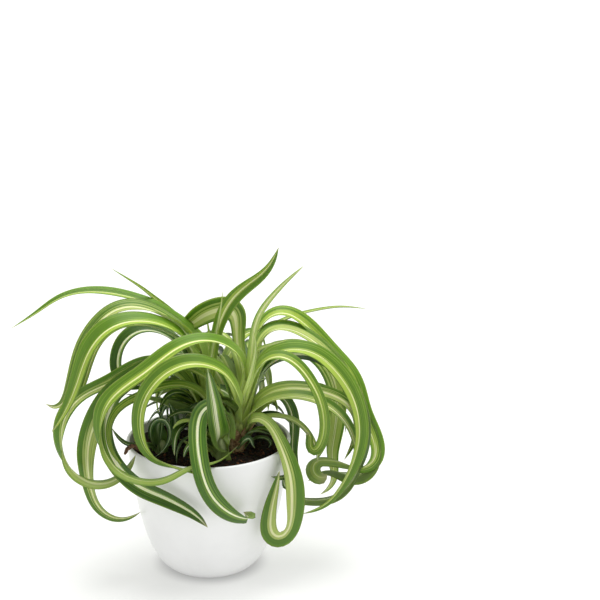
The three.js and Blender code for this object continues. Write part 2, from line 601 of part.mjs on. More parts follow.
// The closed ribbon of a leaf through its settled stations.
function leafGeometry(stations) {
  const { leaf, outward } = stations[0];
  const curve = new THREE.CatmullRomCurve3(stations.map((s) => s.place), false, "centripetal");
  const length = curve.getLength();
  const count = Math.max(8, Math.round(length / STEP));
  const rings = Array.from({ length: count }, (_, k) => {
    const share = k / count;
    const place = curve.getPointAt(share);
    const ahead = curve.getTangentAt(share);
    const { upper, across } = frameAt(place, ahead, length * share, share, leaf, outward);
    const half = halfWidth(leaf, share);
    const thick = Math.min(LEAF_THICKNESS, 0.6 * half);
    const rise = 0.5 * GUTTER * half;
    const at = (a, height) => place.clone().addScaledVector(across, a * half)
      .addScaledVector(upper, height);
    return [at(-1, rise), at(0, 0.5 * thick - rise), at(1, rise), at(0, -0.5 * thick - rise)];
  });
  return skin(rings, curve.getPointAt(1));
}

// ---- the withered stub --------------------------------------------------------------------
const STUB_SIDES = 8;
const STUB_RINGS = 9;

function stubGeometry() {
  const curve = new THREE.CatmullRomCurve3(STUB_ROUTE.map(seen), false, "centripetal");
  const rings = Array.from({ length: STUB_RINGS }, (_, r) => {
    const share = r / STUB_RINGS;
    const place = curve.getPointAt(share);
    const ahead = curve.getTangentAt(share);
    const side = ahead.clone().cross(new THREE.Vector3(0, 0, 1)).normalize();
    const upper = ahead.clone().cross(side);
    return Array.from({ length: STUB_SIDES }, (_, k) => {
      const angle = (2 * Math.PI * k) / STUB_SIDES;
      return place.clone()
        .addScaledVector(side, along(STUB_RADII, share) * Math.cos(angle))
        .addScaledVector(upper, along(STUB_RADII, share) * Math.sin(angle));
    });
  });
  return skin(rings, curve.getPointAt(1));
}

// ---- assembly -----------------------------------------------------------------------------
const finish = (color, roughness) => new THREE.MeshStandardMaterial({ color, roughness });
const glaze = finish(0xe9e9ec, 0.35);
const earth = finish(0x2c2119, 0.95);
const sheath = finish(0xb6b07a, 0.6);
const blade = finish(0x5f9138, 0.5);
const withered = finish(0x4a2f1e, 0.9);

const plant = new THREE.Group();

function add(name, geometry, material) {
  const mesh = new THREE.Mesh(geometry, material);
  mesh.name = name;
  plant.add(mesh);
}

add("pot", potGeometry(), glaze);
add("soil", soilGeometry(), earth);
for (const [name, crown] of Object.entries(CROWNS)) add(name, crownGeometry(crown), sheath);
const settled = Object.values(LEAVES).map(stationsOf);
settle(settled);
Object.keys(LEAVES).forEach((name, k) => add(name, leafGeometry(settled[k]), blade));
add("dry_stub", stubGeometry(), withered);

export default plant;
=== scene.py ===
# %% [markdown]
# # A curly spider plant in a white pot
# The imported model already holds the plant's frame: a pot, its soil, four short shoots and every
# leaf as a plain ribbon at its real size. Those ribbons could be subdivided and painted as they
# are, but they have only four corners to a ring. So each one is read back as a line with a width
# and an upper side, and a finer blade is carried along it. What is drawn then lies where the
# frame says it does, but for a few moves of some millimetres.

# %% Load the frame
import math

import bpy
import numpy as np
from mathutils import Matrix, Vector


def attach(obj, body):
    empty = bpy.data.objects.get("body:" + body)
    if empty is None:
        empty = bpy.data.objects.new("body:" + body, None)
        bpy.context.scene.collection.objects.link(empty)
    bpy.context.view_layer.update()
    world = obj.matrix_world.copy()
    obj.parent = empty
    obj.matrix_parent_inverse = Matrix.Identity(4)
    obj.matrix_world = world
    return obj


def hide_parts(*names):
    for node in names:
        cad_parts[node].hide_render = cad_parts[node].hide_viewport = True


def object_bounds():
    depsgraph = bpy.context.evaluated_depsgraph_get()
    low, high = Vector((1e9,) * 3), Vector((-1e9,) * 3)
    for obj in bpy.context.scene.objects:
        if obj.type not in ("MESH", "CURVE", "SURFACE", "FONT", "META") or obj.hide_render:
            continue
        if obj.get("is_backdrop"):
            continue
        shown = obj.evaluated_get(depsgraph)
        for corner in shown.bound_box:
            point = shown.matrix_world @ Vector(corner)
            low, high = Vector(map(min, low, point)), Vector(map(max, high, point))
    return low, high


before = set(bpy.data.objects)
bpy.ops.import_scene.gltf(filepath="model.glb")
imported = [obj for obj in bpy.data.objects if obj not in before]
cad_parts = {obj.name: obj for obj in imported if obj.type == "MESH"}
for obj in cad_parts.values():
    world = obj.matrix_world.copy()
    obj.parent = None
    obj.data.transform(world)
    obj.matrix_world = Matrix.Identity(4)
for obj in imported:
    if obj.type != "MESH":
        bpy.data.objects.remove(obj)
frame_low, frame_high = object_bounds()
MM = 0.001
SIZE = (np.array(frame_high) - np.array(frame_low)) / MM
print("frame of", len(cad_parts), "nodes,", SIZE.round(1), "mm")

# %% [markdown]
# ## Camera
# A picture of a small plant is taken from a step away with a long lens, so near and far leaves
# keep almost the same size. The lens looks down a little, just enough to see the soil behind the
# near rim of the pot.

# %% Set the camera
LENS = 100.98
CAMERA_PLACE = (0, -1.298057, 0.614449)
LOOK_DOWN = 16.532  # degrees below level
LOOK_RIGHT = 3.3266  # degrees to the right of straight ahead
camera_data = bpy.data.cameras.new("camera")
camera_data.sensor_width = 36
camera_data.lens = LENS
camera = bpy.data.objects.new("camera", camera_data)
camera.location = CAMERA_PLACE
camera.rotation_euler = (math.radians(90 - LOOK_DOWN), 0, math.radians(-LOOK_RIGHT))
bpy.context.scene.collection.objects.link(camera)
bpy.context.scene.camera = camera
print("camera", np.round(camera.location, 3), "m")

# %% [markdown]
# ## Shader helpers
# A material is a graph of small nodes. Wiring one by hand takes many lines that all look the
# same, so a few helpers do it: one adds a node with its inputs, one adds a step of arithmetic,
# and one mixes two colours. Values that belong together go in a node group with named sockets,
# which works as a function does: it is built once, and every material calls it with values of
# its own.


# %% Helpers for nodes
def colour(red, green, blue):
    """Screen values from 0 to 255 as the linear colour that a shader takes.

    Each value v from 0 to 1 becomes ((v + 0.055) / 1.055) to the power 2.4.
    """
    screen = np.array([red, green, blue]) / 255
    return (*(((screen + 0.055) / 1.055) ** 2.4), 1.0)


def feed(tree, node, inputs):
    """Sets each input of a node to a number or colour, or links it to another node's output."""
    for key, value in inputs.items():
        if isinstance(value, bpy.types.NodeSocket):
            tree.links.new(value, node.inputs[key])
        else:
            node.inputs[key].default_value = value
    return node


def add_node(tree, kind, inputs=(), **settings):
    """A new shader node with its settings made and its inputs fed."""
    node = tree.nodes.new("ShaderNode" + kind)
    for key, value in settings.items():
        setattr(node, key, value)
    return feed(tree, node, dict(inputs))


def calc(tree, operation, *values):
    """The output of a Math node that works on the given numbers or sockets."""
    return add_node(tree, "Math", dict(enumerate(values)), operation=operation).outputs[0]


def blend_colours(tree, share, one, other):
    """one where share is 0, other where it is 1, and a mix between them.

    A Mix node has a set of sockets for each kind of data, and these are the ones for colours.
    """
    node = add_node(tree, "Mix", data_type="RGBA")
    return feed(tree, node, {0: share, 6: one, 7: other}).outputs[2]


print("nodes can be added and linked")


# %% Helpers for groups and whole materials
def new_group(name, inputs, outputs):
    """A shader node group with named sockets. Each is given as name: (kind, first value)."""
    tree = bpy.data.node_groups.new(name, "ShaderNodeTree")
    for key, (kind, value) in inputs.items():
        socket = tree.interface.new_socket(key, in_out="INPUT", socket_type="NodeSocket" + kind)
        if value is not None:
            socket.default_value = value
    for key, kind in outputs.items():
        tree.interface.new_socket(key, in_out="OUTPUT", socket_type="NodeSocket" + kind)
    source = tree.nodes.new("NodeGroupInput")
    result = tree.nodes.new("NodeGroupOutput")
    return tree, source.outputs, result.inputs


def new_material(name, **constants):
    """An empty material with a Principled shader, whose constants are set on its own sockets."""
    material = bpy.data.materials.new(name)
    material.use_nodes = True
    tree = material.node_tree
    shader = next(n for n in tree.nodes if n.type == "BSDF_PRINCIPLED")
    for key, value in constants.items():
        shader.inputs[key.replace("_", " ")].default_value = value
    return material, tree, shader


def use_group(tree, group, inputs):
    """The outputs of a group node in a tree, with its inputs set or linked."""
    return feed(tree, add_node(tree, "Group", node_tree=group), inputs).outputs


def relief(tree, shader, height, strength, distance):
    """Feeds a height through a Bump node into the shader's normal."""
    inputs = {"Strength": strength, "Distance": distance, "Height": height}
    tree.links.new(add_node(tree, "Bump", inputs).outputs[0], shader.inputs["Normal"])


print("material helpers ready")

# %% [markdown]
# ## Mesh helpers
# Most of the plant is one kind of shape: a closed outline carried along a path, with a point at
# each end. Blender's curves can do it with a bevel object, but a blade that turns, narrows and
# folds needs its own outline at each place. So the outlines are worked out as one array of rings,
# and one helper closes any such array into a solid whose faces point outwards.


# %% A helper that closes rings into a solid
UV_MAP = "OFBake"  # one even sheet over each piece: along it one way, round it the other
CAP = 0.01  # share of the sheet's length that each closed end takes


def skin(rings, start, end):
    """Points, triangles and corner places of a solid through an array of rings (ring, place, xyz).

    Neighbouring rings are joined by two triangles for each place, and the first and last ring
    are closed by fans to the points start and end. A corner is a row of three numbers: its point,
    its ring's share of the length and its place's share of the way round. The last two are its
    place on the sheet.
    """
    count, sides = rings.shape[:2]
    grid = np.arange(count * sides).reshape(count, sides)
    length = np.tile(np.linspace(CAP, 1 - CAP, count)[:, None], (1, sides))
    way = np.tile(np.arange(sides) / sides, (count, 1))
    here = np.stack([grid, length, way], -1)
    there = np.stack([np.roll(grid, -1, axis=1), length, way + 1 / sides], -1)
    middle = way[0] + 0.5 / sides
    low, high = (np.stack([np.full(sides, count * sides + end_share),
                           np.full(sides, end_share), middle], -1) for end_share in (0, 1))
    triangles = ((here[:-1], there[:-1], there[1:]), (here[:-1], there[1:], here[1:]),
                 (low, there[0], here[0]), (high, here[-1], there[-1]))
    corners = np.concatenate([np.stack(three, -2).reshape(-1, 3, 3) for three in triangles])
    points = np.concatenate([rings.reshape(-1, 3), [start], [end]])
    return points, corners[..., 0].astype(int), corners[..., 1:]


print("rings can be closed into a solid")


# %% A helper that makes a piece of the plant
def make_piece(name, points, faces, material, nodes=(), places=None, values=None):
    """A smooth mesh object from arrays, in metres, that rides on the root body.

    values are numbers held at each point by name, places are its corners' UVs, and nodes are
    the frame's nodes that it stands in for.
    """
    mesh = bpy.data.meshes.new(name)
    mesh.vertices.add(len(points))
    mesh.vertices.foreach_set("co", np.asarray(points, np.float32).ravel())
    mesh.loops.add(faces.size)
    mesh.loops.foreach_set("vertex_index", faces.astype(np.int32).ravel())
    mesh.polygons.add(len(faces))
    mesh.polygons.foreach_set("loop_start", np.arange(0, faces.size, 3, dtype=np.int32))
    mesh.polygons.foreach_set("use_smooth", np.ones(len(faces), bool))
    mesh.update(calc_edges=True)
    if places is not None:
        mesh.uv_layers.new(name=UV_MAP).uv.foreach_set("vector", places.astype(np.float32).ravel())
    for key, numbers in (values or {}).items():
        held = mesh.attributes.new(key, "FLOAT", "POINT")
        held.data.foreach_set("value", np.asarray(numbers, np.float32))
    mesh.materials.append(material)
    mesh.validate()
    piece = bpy.data.objects.new(name, mesh)
    bpy.context.scene.collection.objects.link(piece)
    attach(piece, "root")
    if nodes:
        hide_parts(*nodes)
    return piece


print("pieces hold their UVs in", UV_MAP)

# %% [markdown]
# ## Pot
# The pot is glazed earthenware, turned on a wheel or pressed in a round mould, so its whole shape
# is one outline spun about its middle. The side swells from a narrow foot in one soft curve to a
# shoulder, and stands up straighter from there to a thin rounded rim. Spinning the outline by
# formula gives a finer pot than the frame's, and both share the same few sizes.

# %% Turn the pot
POT_HEIGHT = 112
RIM_RADIUS = 67.5
SHOULDER_RADIUS = 64
SHOULDER_HEIGHT = 85
FOOT_RADIUS = 27
BELLY_RADIUS = 53
WALL = 3
FLOOR = 4
LIP = 1.1  # the rim's rounding
POT_SIDES = 160
OUTSIDE_STEPS, INSIDE_STEPS, LIP_STEPS, FLAT_STEPS = 44, 30, 13, 8


def side_of_pot(inset, foot_height, count):
    """Radius and height along the pot's side, moved inwards.

    A quadratic curve leaves the foot level, heads for the belly point and ends at the shoulder:
    each place is the mean of the three, weighed (1-t) squared, 2t(1-t) and t squared.
    """
    t = np.linspace(0, 1, count)[:, None]
    foot = np.array([FOOT_RADIUS - inset, foot_height])
    belly = np.array([BELLY_RADIUS - inset, foot_height])
    shoulder = np.array([SHOULDER_RADIUS - inset, SHOULDER_HEIGHT])
    return (1 - t) ** 2 * foot + 2 * t * (1 - t) * belly + t**2 * shoulder


def level_at(angle):
    """Level unit vectors at angles: cosine across, sine along and no height."""
    return np.stack([np.cos(angle), np.sin(angle), np.zeros_like(angle)], -1)


def spin(outline, sides, start, end):
    """A solid turned from rows of radius and height, closed at two points on its axis."""
    circle = level_at(np.arange(sides) * 2 * np.pi / sides)
    rings = outline[:, None, :1] * circle[None] + outline[:, None, 1:] * np.array([0, 0, 1])
    return skin(rings * MM, np.array([0, 0, start]) * MM, np.array([0, 0, end]) * MM)


print("pot is", POT_HEIGHT, "mm tall, on a foot", 2 * FOOT_RADIUS, "mm across")

# %% Put its outline together and spin it
turn = np.linspace(0, np.pi, LIP_STEPS)
lip_middle = RIM_RADIUS - WALL / 2
lip = np.stack([lip_middle + WALL / 2 * np.cos(turn), POT_HEIGHT - LIP + LIP * np.sin(turn)], -1)
rise = np.linspace(0, 1, FLAT_STEPS)[1:-1, None]
shoulder_out = np.array([SHOULDER_RADIUS, SHOULDER_HEIGHT])
shoulder_in = shoulder_out - [WALL, 0]
underside = np.stack([np.linspace(3, FOOT_RADIUS - 2, FLAT_STEPS), np.zeros(FLAT_STEPS)], -1)
outline = np.concatenate([
    underside,
    side_of_pot(0, 0, OUTSIDE_STEPS),
    shoulder_out + rise * (lip[0] - shoulder_out),
    lip,
    lip[-1] + rise * (shoulder_in - lip[-1]),
    side_of_pot(WALL, FLOOR, INSIDE_STEPS)[::-1],
])
pot_points, pot_faces, pot_places = spin(outline, POT_SIDES, 0, FLOOR)
print("pot", len(pot_faces), "triangles, rim", 2 * RIM_RADIUS, "mm across")

# %% [markdown]
# ## Glaze
# A white satin glaze is never quite even: it pools and thins over a few centimetres, and it has a
# very fine skin where it cooled. Both are noise read in the object's own coordinates, which stay
# with the pot from every side. The broad noise tints the white a little, and the fine one only
# lifts the surface by a few hundredths of a millimetre.

# %% A node group for uneven colour
NOISE_INPUTS = {
    "Scale": ("Float", 60.0), "Detail": ("Float", 3.0), "Dark": ("Color", (0, 0, 0, 1)),
    "Light": ("Color", (1, 1, 1, 1)), "Low": ("Float", 0.35), "High": ("Float", 0.65),
}
mottle, source, result = new_group("mottle", NOISE_INPUTS, {"Color": "Color", "Share": "Float"})
coordinates = add_node(mottle, "TexCoord")
noise_inputs = {"Vector": coordinates.outputs["Object"], "Scale": source["Scale"],
                "Detail": source["Detail"]}
cloud = add_node(mottle, "TexNoise", noise_inputs).outputs["Fac"]
range_inputs = {"Value": cloud, "From Min": source["Low"], "From Max": source["High"]}
share = add_node(mottle, "MapRange", range_inputs).outputs["Result"]
mottle.links.new(blend_colours(mottle, share, source["Dark"], source["Light"]), result["Color"])
mottle.links.new(share, result["Share"])


def patches(tree, scale, dark, light, detail=3.0):
    """The mottle group's outputs in a material, between two colours given as screen values."""
    inputs = {"Scale": scale, "Detail": detail, "Dark": colour(*dark), "Light": colour(*light)}
    return use_group(tree, mottle, inputs)


print("mottle group has", len(mottle.nodes), "nodes")

# %% Glaze the pot
glaze, tree, shader = new_material("glaze", Roughness=0.3, Coat_Weight=0.15, Coat_Roughness=0.12)
white = patches(tree, 28.0, (240, 240, 240), (245, 245, 245))
fine = use_group(tree, mottle, {"Scale": 900.0, "Detail": 2.0, "Low": 0.2, "High": 0.8})
tree.links.new(white["Color"], shader.inputs["Base Color"])
relief(tree, shader, fine["Share"], 0.12, 0.0003)
make_piece("pot_glazed", pot_points, pot_faces, glaze, ["pot"], pot_places)
print("pot glazed")

# %% [markdown]
# ## Potting soil
# Peat-based soil is a dark bed with crumbs and bits of bark on top. A bump map alone would leave
# its edge against the pot as a clean circle, so the top is a real uneven surface: a sum of waves
# in chance directions lifts and sinks it by up to two millimetres. The crumbs come next as a
# piece of their own.

# %% Shape the bed of soil
SOIL_TOP = 104
SOIL_GAP = 0.3
SOIL_RINGS = 60
SOIL_SIDES = 150
SIDE_RINGS = 24
INNERMOST = 1.2
BED_WAVES = 60
SHORTEST_WAVE = 2.2
LONGEST_WAVE = 45
BED_SEED = 3
BED_SWING, BED_SINK = 1.9, 0.3


def waves(places, count, shortest, longest, generator):
    """A rough height about 0: twice the mean of sine waves of chance direction and phase.

    Each wavelength is the one before times the same number, from the longest to the shortest,
    and a wave counts in the mean as its length to the power 0.6.
    """
    length = np.geomspace(longest, shortest, count)
    angle = generator.uniform(0, 2 * np.pi, count)
    ahead = np.stack([np.cos(angle), np.sin(angle)]) / length
    phase = generator.uniform(0, 2 * np.pi, count)
    weight = length**0.6
    return (np.sin(2 * np.pi * places @ ahead + phase) * weight).sum(-1) / weight.sum() * 2


def bed_height(places):
    """How far the bed stands above its level, in mm: the waves times a swing, less a sink."""
    generator = np.random.default_rng(BED_SEED)
    height = waves(places, BED_WAVES, SHORTEST_WAVE, LONGEST_WAVE, generator)
    return height * BED_SWING - BED_SINK


def wall_radius(height):
    """The inside radius of the pot at a height above its shoulder."""
    share = (height - SHOULDER_HEIGHT) / (POT_HEIGHT - SHOULDER_HEIGHT)
    return SHOULDER_RADIUS + (RIM_RADIUS - SHOULDER_RADIUS) * share - WALL


print("soil lies", POT_HEIGHT - SOIL_TOP, "mm below the rim")

# %% Spin the bed and make its top uneven
soil_radius = wall_radius(SOIL_TOP) - SOIL_GAP
soil_side = side_of_pot(WALL + SOIL_GAP, FLOOR + SOIL_GAP, SIDE_RINGS)
top_radii = np.linspace(soil_radius, INNERMOST, SOIL_RINGS)
soil_top = np.stack([top_radii, np.full(SOIL_RINGS, SOIL_TOP)], -1)
soil_outline = np.concatenate([soil_side, soil_top])
soil_points, soil_faces, soil_places = spin(soil_outline, SOIL_SIDES, FLOOR + SOIL_GAP, SOIL_TOP)
on_top = soil_points[:, 2] > (SOIL_TOP - 0.01) * MM
soil_points[on_top, 2] += bed_height(soil_points[on_top, :2] / MM) * MM
top_heights = soil_points[on_top, 2] / MM
print("soil top from", top_heights.min().round(1), "to", top_heights.max().round(1), "mm")

# %% [markdown]
# ## Soil crumbs
# The bits on top are what makes soil read as soil. Each is a twenty-sided ball, squeezed and
# turned by chance, and pressed a little into the bed. Some hundreds of them are one mesh, built
# by copying one small array many times over instead of looping over objects. Each crumb carries a
# tone of its own, from black peat to reddish bark.


# %% The shape of one crumb and its turns
def unit(vectors):
    """Vectors divided by their own lengths."""
    return vectors / np.linalg.norm(vectors, axis=-1, keepdims=True)


def distances(rows, others):
    """The distance from each row to each of the others."""
    return np.linalg.norm(rows[:, None] - others[None], axis=-1)


def ball():
    """The twelve corners and twenty faces of an icosahedron of radius 1."""
    golden = (1 + 5**0.5) / 2
    corners = []
    for a in (-1, 1):
        for b in (-golden, golden):
            corners += [(0, a, b), (a, b, 0), (b, 0, a)]
    corners = unit(np.array(corners, float))
    apart = distances(corners, corners)
    near = np.isclose(apart, np.sort(apart, axis=1)[:, 1].min(), atol=1e-3)
    i, j, k = np.nonzero(near[:, :, None] & near[None, :, :] & near[:, None, :])
    rows = np.stack([i, j, k], -1)[(i < j) & (j < k)]
    a, b, c = (corners[rows[:, n]] for n in range(3))
    inwards = np.einsum("ij,ij->i", np.cross(b - a, c - a), a) < 0
    rows[inwards] = rows[inwards][:, ::-1]
    return corners, rows


def turns(count, generator):
    """Rotations by chance, each made of three unit vectors at right angles."""
    first = unit(generator.normal(size=(count, 3)))
    second = unit(np.cross(first, generator.normal(size=(count, 3))))
    return np.stack([first, second, np.cross(first, second)], -1)


ball_points, ball_faces = ball()
print("a crumb has", len(ball_faces), "faces")

# %% Scatter the crumbs
CRUMBS = 900
BARK_SHARE = 0.16
BARK_TONES, PEAT_TONES = (0.55, 1), (0, 0.3)
SMALLEST, LARGEST = 0.45, 2.6  # a crumb's radius in mm, before it is squeezed
SIZE_CURVE = (2.2, 0.42)  # a gamma curve: many small crumbs and a few large ones
SQUEEZE = (0.45, 1.25)
ROUGHNESS = (0.8, 1.2)
PROUD = 0.2  # how far a crumb's middle stands above the bed, as a share of its thickness
chance = np.random.default_rng(7)
spread = soil_radius * np.sqrt(chance.uniform(0, 1, CRUMBS)) * 0.985
bearing = chance.uniform(0, 2 * np.pi, CRUMBS)
crumb_size = chance.gamma(*SIZE_CURVE, CRUMBS)[:, None] + SMALLEST
crumb_size = np.minimum(crumb_size, LARGEST) * chance.uniform(*SQUEEZE, (CRUMBS, 3))
is_bark = chance.uniform(0, 1, CRUMBS) < BARK_SHARE
bark_tone, peat_tone = (chance.uniform(*ends, CRUMBS) for ends in (BARK_TONES, PEAT_TONES))
tone = np.where(is_bark, bark_tone, peat_tone)
spread = np.minimum(spread, soil_radius - crumb_size.max(1))
centres = np.stack([spread * np.cos(bearing), spread * np.sin(bearing)], -1)
heights = SOIL_TOP + bed_height(centres) + PROUD * crumb_size.min(1)
centres = np.column_stack([centres, heights])
corners = len(ball_points)
rough = ball_points * chance.uniform(*ROUGHNESS, (CRUMBS, corners, 1)) * crumb_size[:, None]
crumb_points = rough @ turns(CRUMBS, chance).transpose(0, 2, 1) + centres[:, None]
crumb_faces = ball_faces + corners * np.arange(CRUMBS)[:, None, None]
crumb_points = crumb_points.reshape(-1, 3) * MM
print(CRUMBS, "crumbs of", (2 * crumb_size.mean()).round(1), "mm on average")

# %% [markdown]
# ## Soil colours
# Damp peat is nearly black and quite rough, while bark keeps a red-brown tint. One material does
# both: a tone held on each crumb picks between the two, and noise in the object's coordinates
# makes every crumb and every patch of bed a little uneven.


# %% Colour the soil
def attribute(tree, name):
    """The number that a mesh holds at each point under that name."""
    return add_node(tree, "Attribute", attribute_name=name).outputs["Fac"]


soil_material, tree, shader = new_material("soil", Roughness=0.92, Specular_IOR_Level=0.25)
peat = patches(tree, 420.0, (16, 12, 9), (46, 37, 28), detail=4.0)
bark = patches(tree, 600.0, (70, 38, 24), (150, 100, 68))
grit = use_group(tree, mottle, {"Scale": 1500.0, "Detail": 3.0})
earth = blend_colours(tree, attribute(tree, "tone"), peat["Color"], bark["Color"])
tree.links.new(earth, shader.inputs["Base Color"])
relief(tree, shader, grit["Share"], 0.6, 0.0006)
make_piece("soil_bed", soil_points, soil_faces, soil_material, ["soil"], soil_places,
           {"tone": np.zeros(len(soil_points))})
make_piece("soil_crumbs", crumb_points, crumb_faces.reshape(-1, 3), soil_material,
           values={"tone": np.repeat(tone, len(ball_points))})
print("soil finished")

# %% [markdown]
# ## Reading the ribbons back
# Each leaf of the frame is a closed ribbon of four-cornered rings with a point at its tip. Nothing
# in the mesh says which corner belongs to which ring, but the tip does: its neighbours are the
# last ring, their new neighbours the ring before, and so on to the base. The two corners of a
# ring that lie furthest apart are the blade's edges, and the other two its midrib, which lies in
# a groove. The side that the edges rise towards is the upper side of the leaf.


# %% Read the frame's ribbons
LEAF_CORNERS, SHOOT_CORNERS, STUB_CORNERS = 4, 12, 8  # corners of one ring in the frame


def read_rings(name, sides):
    """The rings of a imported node, base first, and its tip, in metres.

    Points that coincide are merged first. The tip is the point with as many neighbours as a ring
    has corners whose nearest neighbour is furthest off, and ring k is what lies k edges from it.
    """
    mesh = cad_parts[name].data
    places = np.empty(3 * len(mesh.vertices))
    mesh.vertices.foreach_get("co", places)
    points, merged = np.unique(places.reshape(-1, 3).round(6), axis=0, return_inverse=True)
    corners = np.empty(len(mesh.loops), int)
    mesh.loops.foreach_get("vertex_index", corners)
    faces = merged.reshape(-1)[corners].reshape(-1, 3)
    linked = np.zeros((len(points), len(points)), bool)
    linked[faces, np.roll(faces, 1, axis=1)] = True
    linked |= linked.T
    nearest = np.where(linked, distances(points, points), np.inf).min(axis=1)
    tip = np.where(linked.sum(axis=1) == sides, nearest, 0).argmax()
    reached = np.zeros(len(points), bool)
    reached[tip] = True
    ring, rings = reached.copy(), []
    while not reached.all():
        ring = linked[ring].any(axis=0) & ~reached
        reached |= ring
        rings.append(points[ring])
    return np.array(rings[::-1]), points[tip]


print("leaves and shoots can be read as rings")

# %% Turn rings into a line, an upper side and a width
PAIRS = np.array([(0, 1), (0, 2), (0, 3), (1, 2), (1, 3), (2, 3)])  # a pair and its rest mirror


def evened(rows, passes):
    """Rows with each inner one moved to a quarter of both neighbours and half of itself."""
    for _ in range(passes):
        rows = np.concatenate([rows[:1], (rows[:-2] + 2 * rows[1:-1] + rows[2:]) / 4, rows[-1:]])
    return rows


def read_leaf(name):
    """A leaf's midrib, its upper directions and its widths, from base to tip.

    The ribbons step forward or back here and there to keep clear of their neighbours. One pass
    of evening takes the kinks out of the midrib, four more those of its depth, and four the
    sudden turns out of the upper side.
    """
    rings, tip = read_rings(name, LEAF_CORNERS)
    apart = np.linalg.norm(rings[:, PAIRS[:, 0]] - rings[:, PAIRS[:, 1]], axis=-1)
    widest = apart.argmax(axis=1)
    row = np.arange(len(rings))[:, None]
    edges = rings[row, PAIRS[widest]]
    middles = rings[row, PAIRS[::-1][widest]]
    upper = unit(edges.mean(axis=1) - middles.mean(axis=1))
    midrib = evened(np.concatenate([rings.mean(axis=1), [tip]]), 1)
    midrib[:, 1] = evened(midrib[:, 1], 4)
    width = np.append(apart.max(axis=1), 0)
    return midrib, evened(np.concatenate([upper, upper[-1:]]), 4), width


CROWN_NAMES = [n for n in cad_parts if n.startswith("crown_")]
LEAF_NAMES = [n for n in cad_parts
              if n not in ("pot", "soil", "dry_stub") and n not in CROWN_NAMES]
leaves = {name: read_leaf(name) for name in sorted(LEAF_NAMES)}
lengths = [np.linalg.norm(np.diff(m, axis=0), axis=1).sum() / MM for m, _, _ in leaves.values()]
print(len(leaves), "leaves,", round(min(lengths)), "to", round(max(lengths)), "mm long")

# %% [markdown]
# ## Reading the shoots
# The four shoots are read in the same way, as a middle and a radius at each height. Later steps
# ask for a shoot's place at any height: a leaf's base finds the side of its shoot there, and the
# finished shoot is wound round the same line.


# %% Read the frame's shoots
def read_crown(name):
    """A shoot's middles and radii from foot to top, in metres."""
    rings, top = read_rings(name, SHOOT_CORNERS)
    middles = rings.mean(axis=1)
    radii = np.linalg.norm(rings - middles[:, None], axis=-1).mean(axis=1)
    return middles, radii, top


crowns = {name: read_crown(name) for name in sorted(CROWN_NAMES)}


def crown_at(crown, height):
    """The middle and radius of a shoot at heights, kept level above its top and below its foot."""
    middles, radii, _ = crown
    at = [np.interp(height, middles[:, 2], middles[:, axis]) for axis in (0, 1)]
    return np.stack([*at, height], -1), np.interp(height, middles[:, 2], radii)


for name, (middles, radii, top) in crowns.items():
    print(name, "is", ((top - middles[0])[2] / MM).round(), "mm high")

# %% [markdown]
# ## Blades
# A spider plant's leaf is a strap that clasps the shoot at its base, folds into a shallow gutter,
# and flattens as it widens. It is thickest at the midrib and paper-thin at its edges. A plane
# with Solidify would give it one thickness and a square edge. Here an outline of 28 points is
# carried along the midrib instead: it goes over the upper side and back under the lower side, and
# at every place it has that place's own width, fold and thickness. Its base is carried on down
# the shoot first, because a leaf that ends in the open air would look glued on.

# %% How wide a blade is, and how its base clasps the shoot
TUCK = 15 * MM  # how far a base goes on down its shoot
TUCK_POINTS = 3
LEAST_TUCK = 2 * MM
BELOW_FOOT = 2 * MM  # the deepest that a base goes below its shoot's foot
UNDER_SKIN = 0.7 * MM
CLASP_WIDER = 0.2
PLAIN_SHARE = 0.94  # the widest place of a plain ribbon, as a share of its full width


def ease(x):
    """A smooth step from 0 to 1 as x goes from 0 to 1: three x squared less two x cubed."""
    x = np.clip(x, 0, 1)
    return x * x * (3 - 2 * x)


def habit_width(width, share, fuller=1.03, base=0.78, full_at=0.3, taper=2.6, blunt=0.75):
    """The width of a blade at shares of its length.

    It grows from base times the full width at the foot to all of it at full_at, and then falls
    as 1 less the share to the power taper, all to the power blunt, to nothing at the tip.
    """
    opened = base + (1 - base) * ease(share / full_at)
    return fuller * width.max() / PLAIN_SHARE * opened * (1 - share**taper) ** blunt


def rooted(midrib, upper, width):
    """The line of a leaf, carried on down the side of the shoot that it grows from.

    The added points keep the base's bearing about the shoot. They sink from outside its skin to
    just under it, and the base widens there to clasp it.
    """
    base = midrib[0]

    def off_axis(crown):
        middle, radius = crown_at(crown, np.array([base[2]]))
        return np.linalg.norm(middle[0] - base) - radius[0]

    crown = min(crowns.values(), key=off_axis)
    foot = crown[0][0, 2] - BELOW_FOOT
    depth = min(TUCK, max(base[2] - foot, LEAST_TUCK))
    down = np.linspace(1, 0, TUCK_POINTS + 1)[:-1]
    height = base[2] - depth * down
    middle, radius = crown_at(crown, height)
    now_middle, now_radius = crown_at(crown, np.array([base[2]]))
    outward = base - now_middle[0]
    outward[2] = 0
    off = np.linalg.norm(outward) - now_radius[0]
    outward = outward / np.linalg.norm(outward)
    reach = radius + off * (1 - down) - UNDER_SKIN * down
    added = middle + reach[:, None] * outward
    widths = width[0] * (1 + CLASP_WIDER * down)
    ups = np.tile(-outward, (len(down), 1))
    return (np.concatenate([added, midrib]), np.concatenate([ups, upper]),
            np.concatenate([widths, width]))


print("a base goes on", TUCK / MM, "mm down its shoot")

# %% Take even steps along the midrib
BLADE_STEP = 2.4 * MM
FEWEST_STEPS = 24
NARROWEST = 0.12 * MM


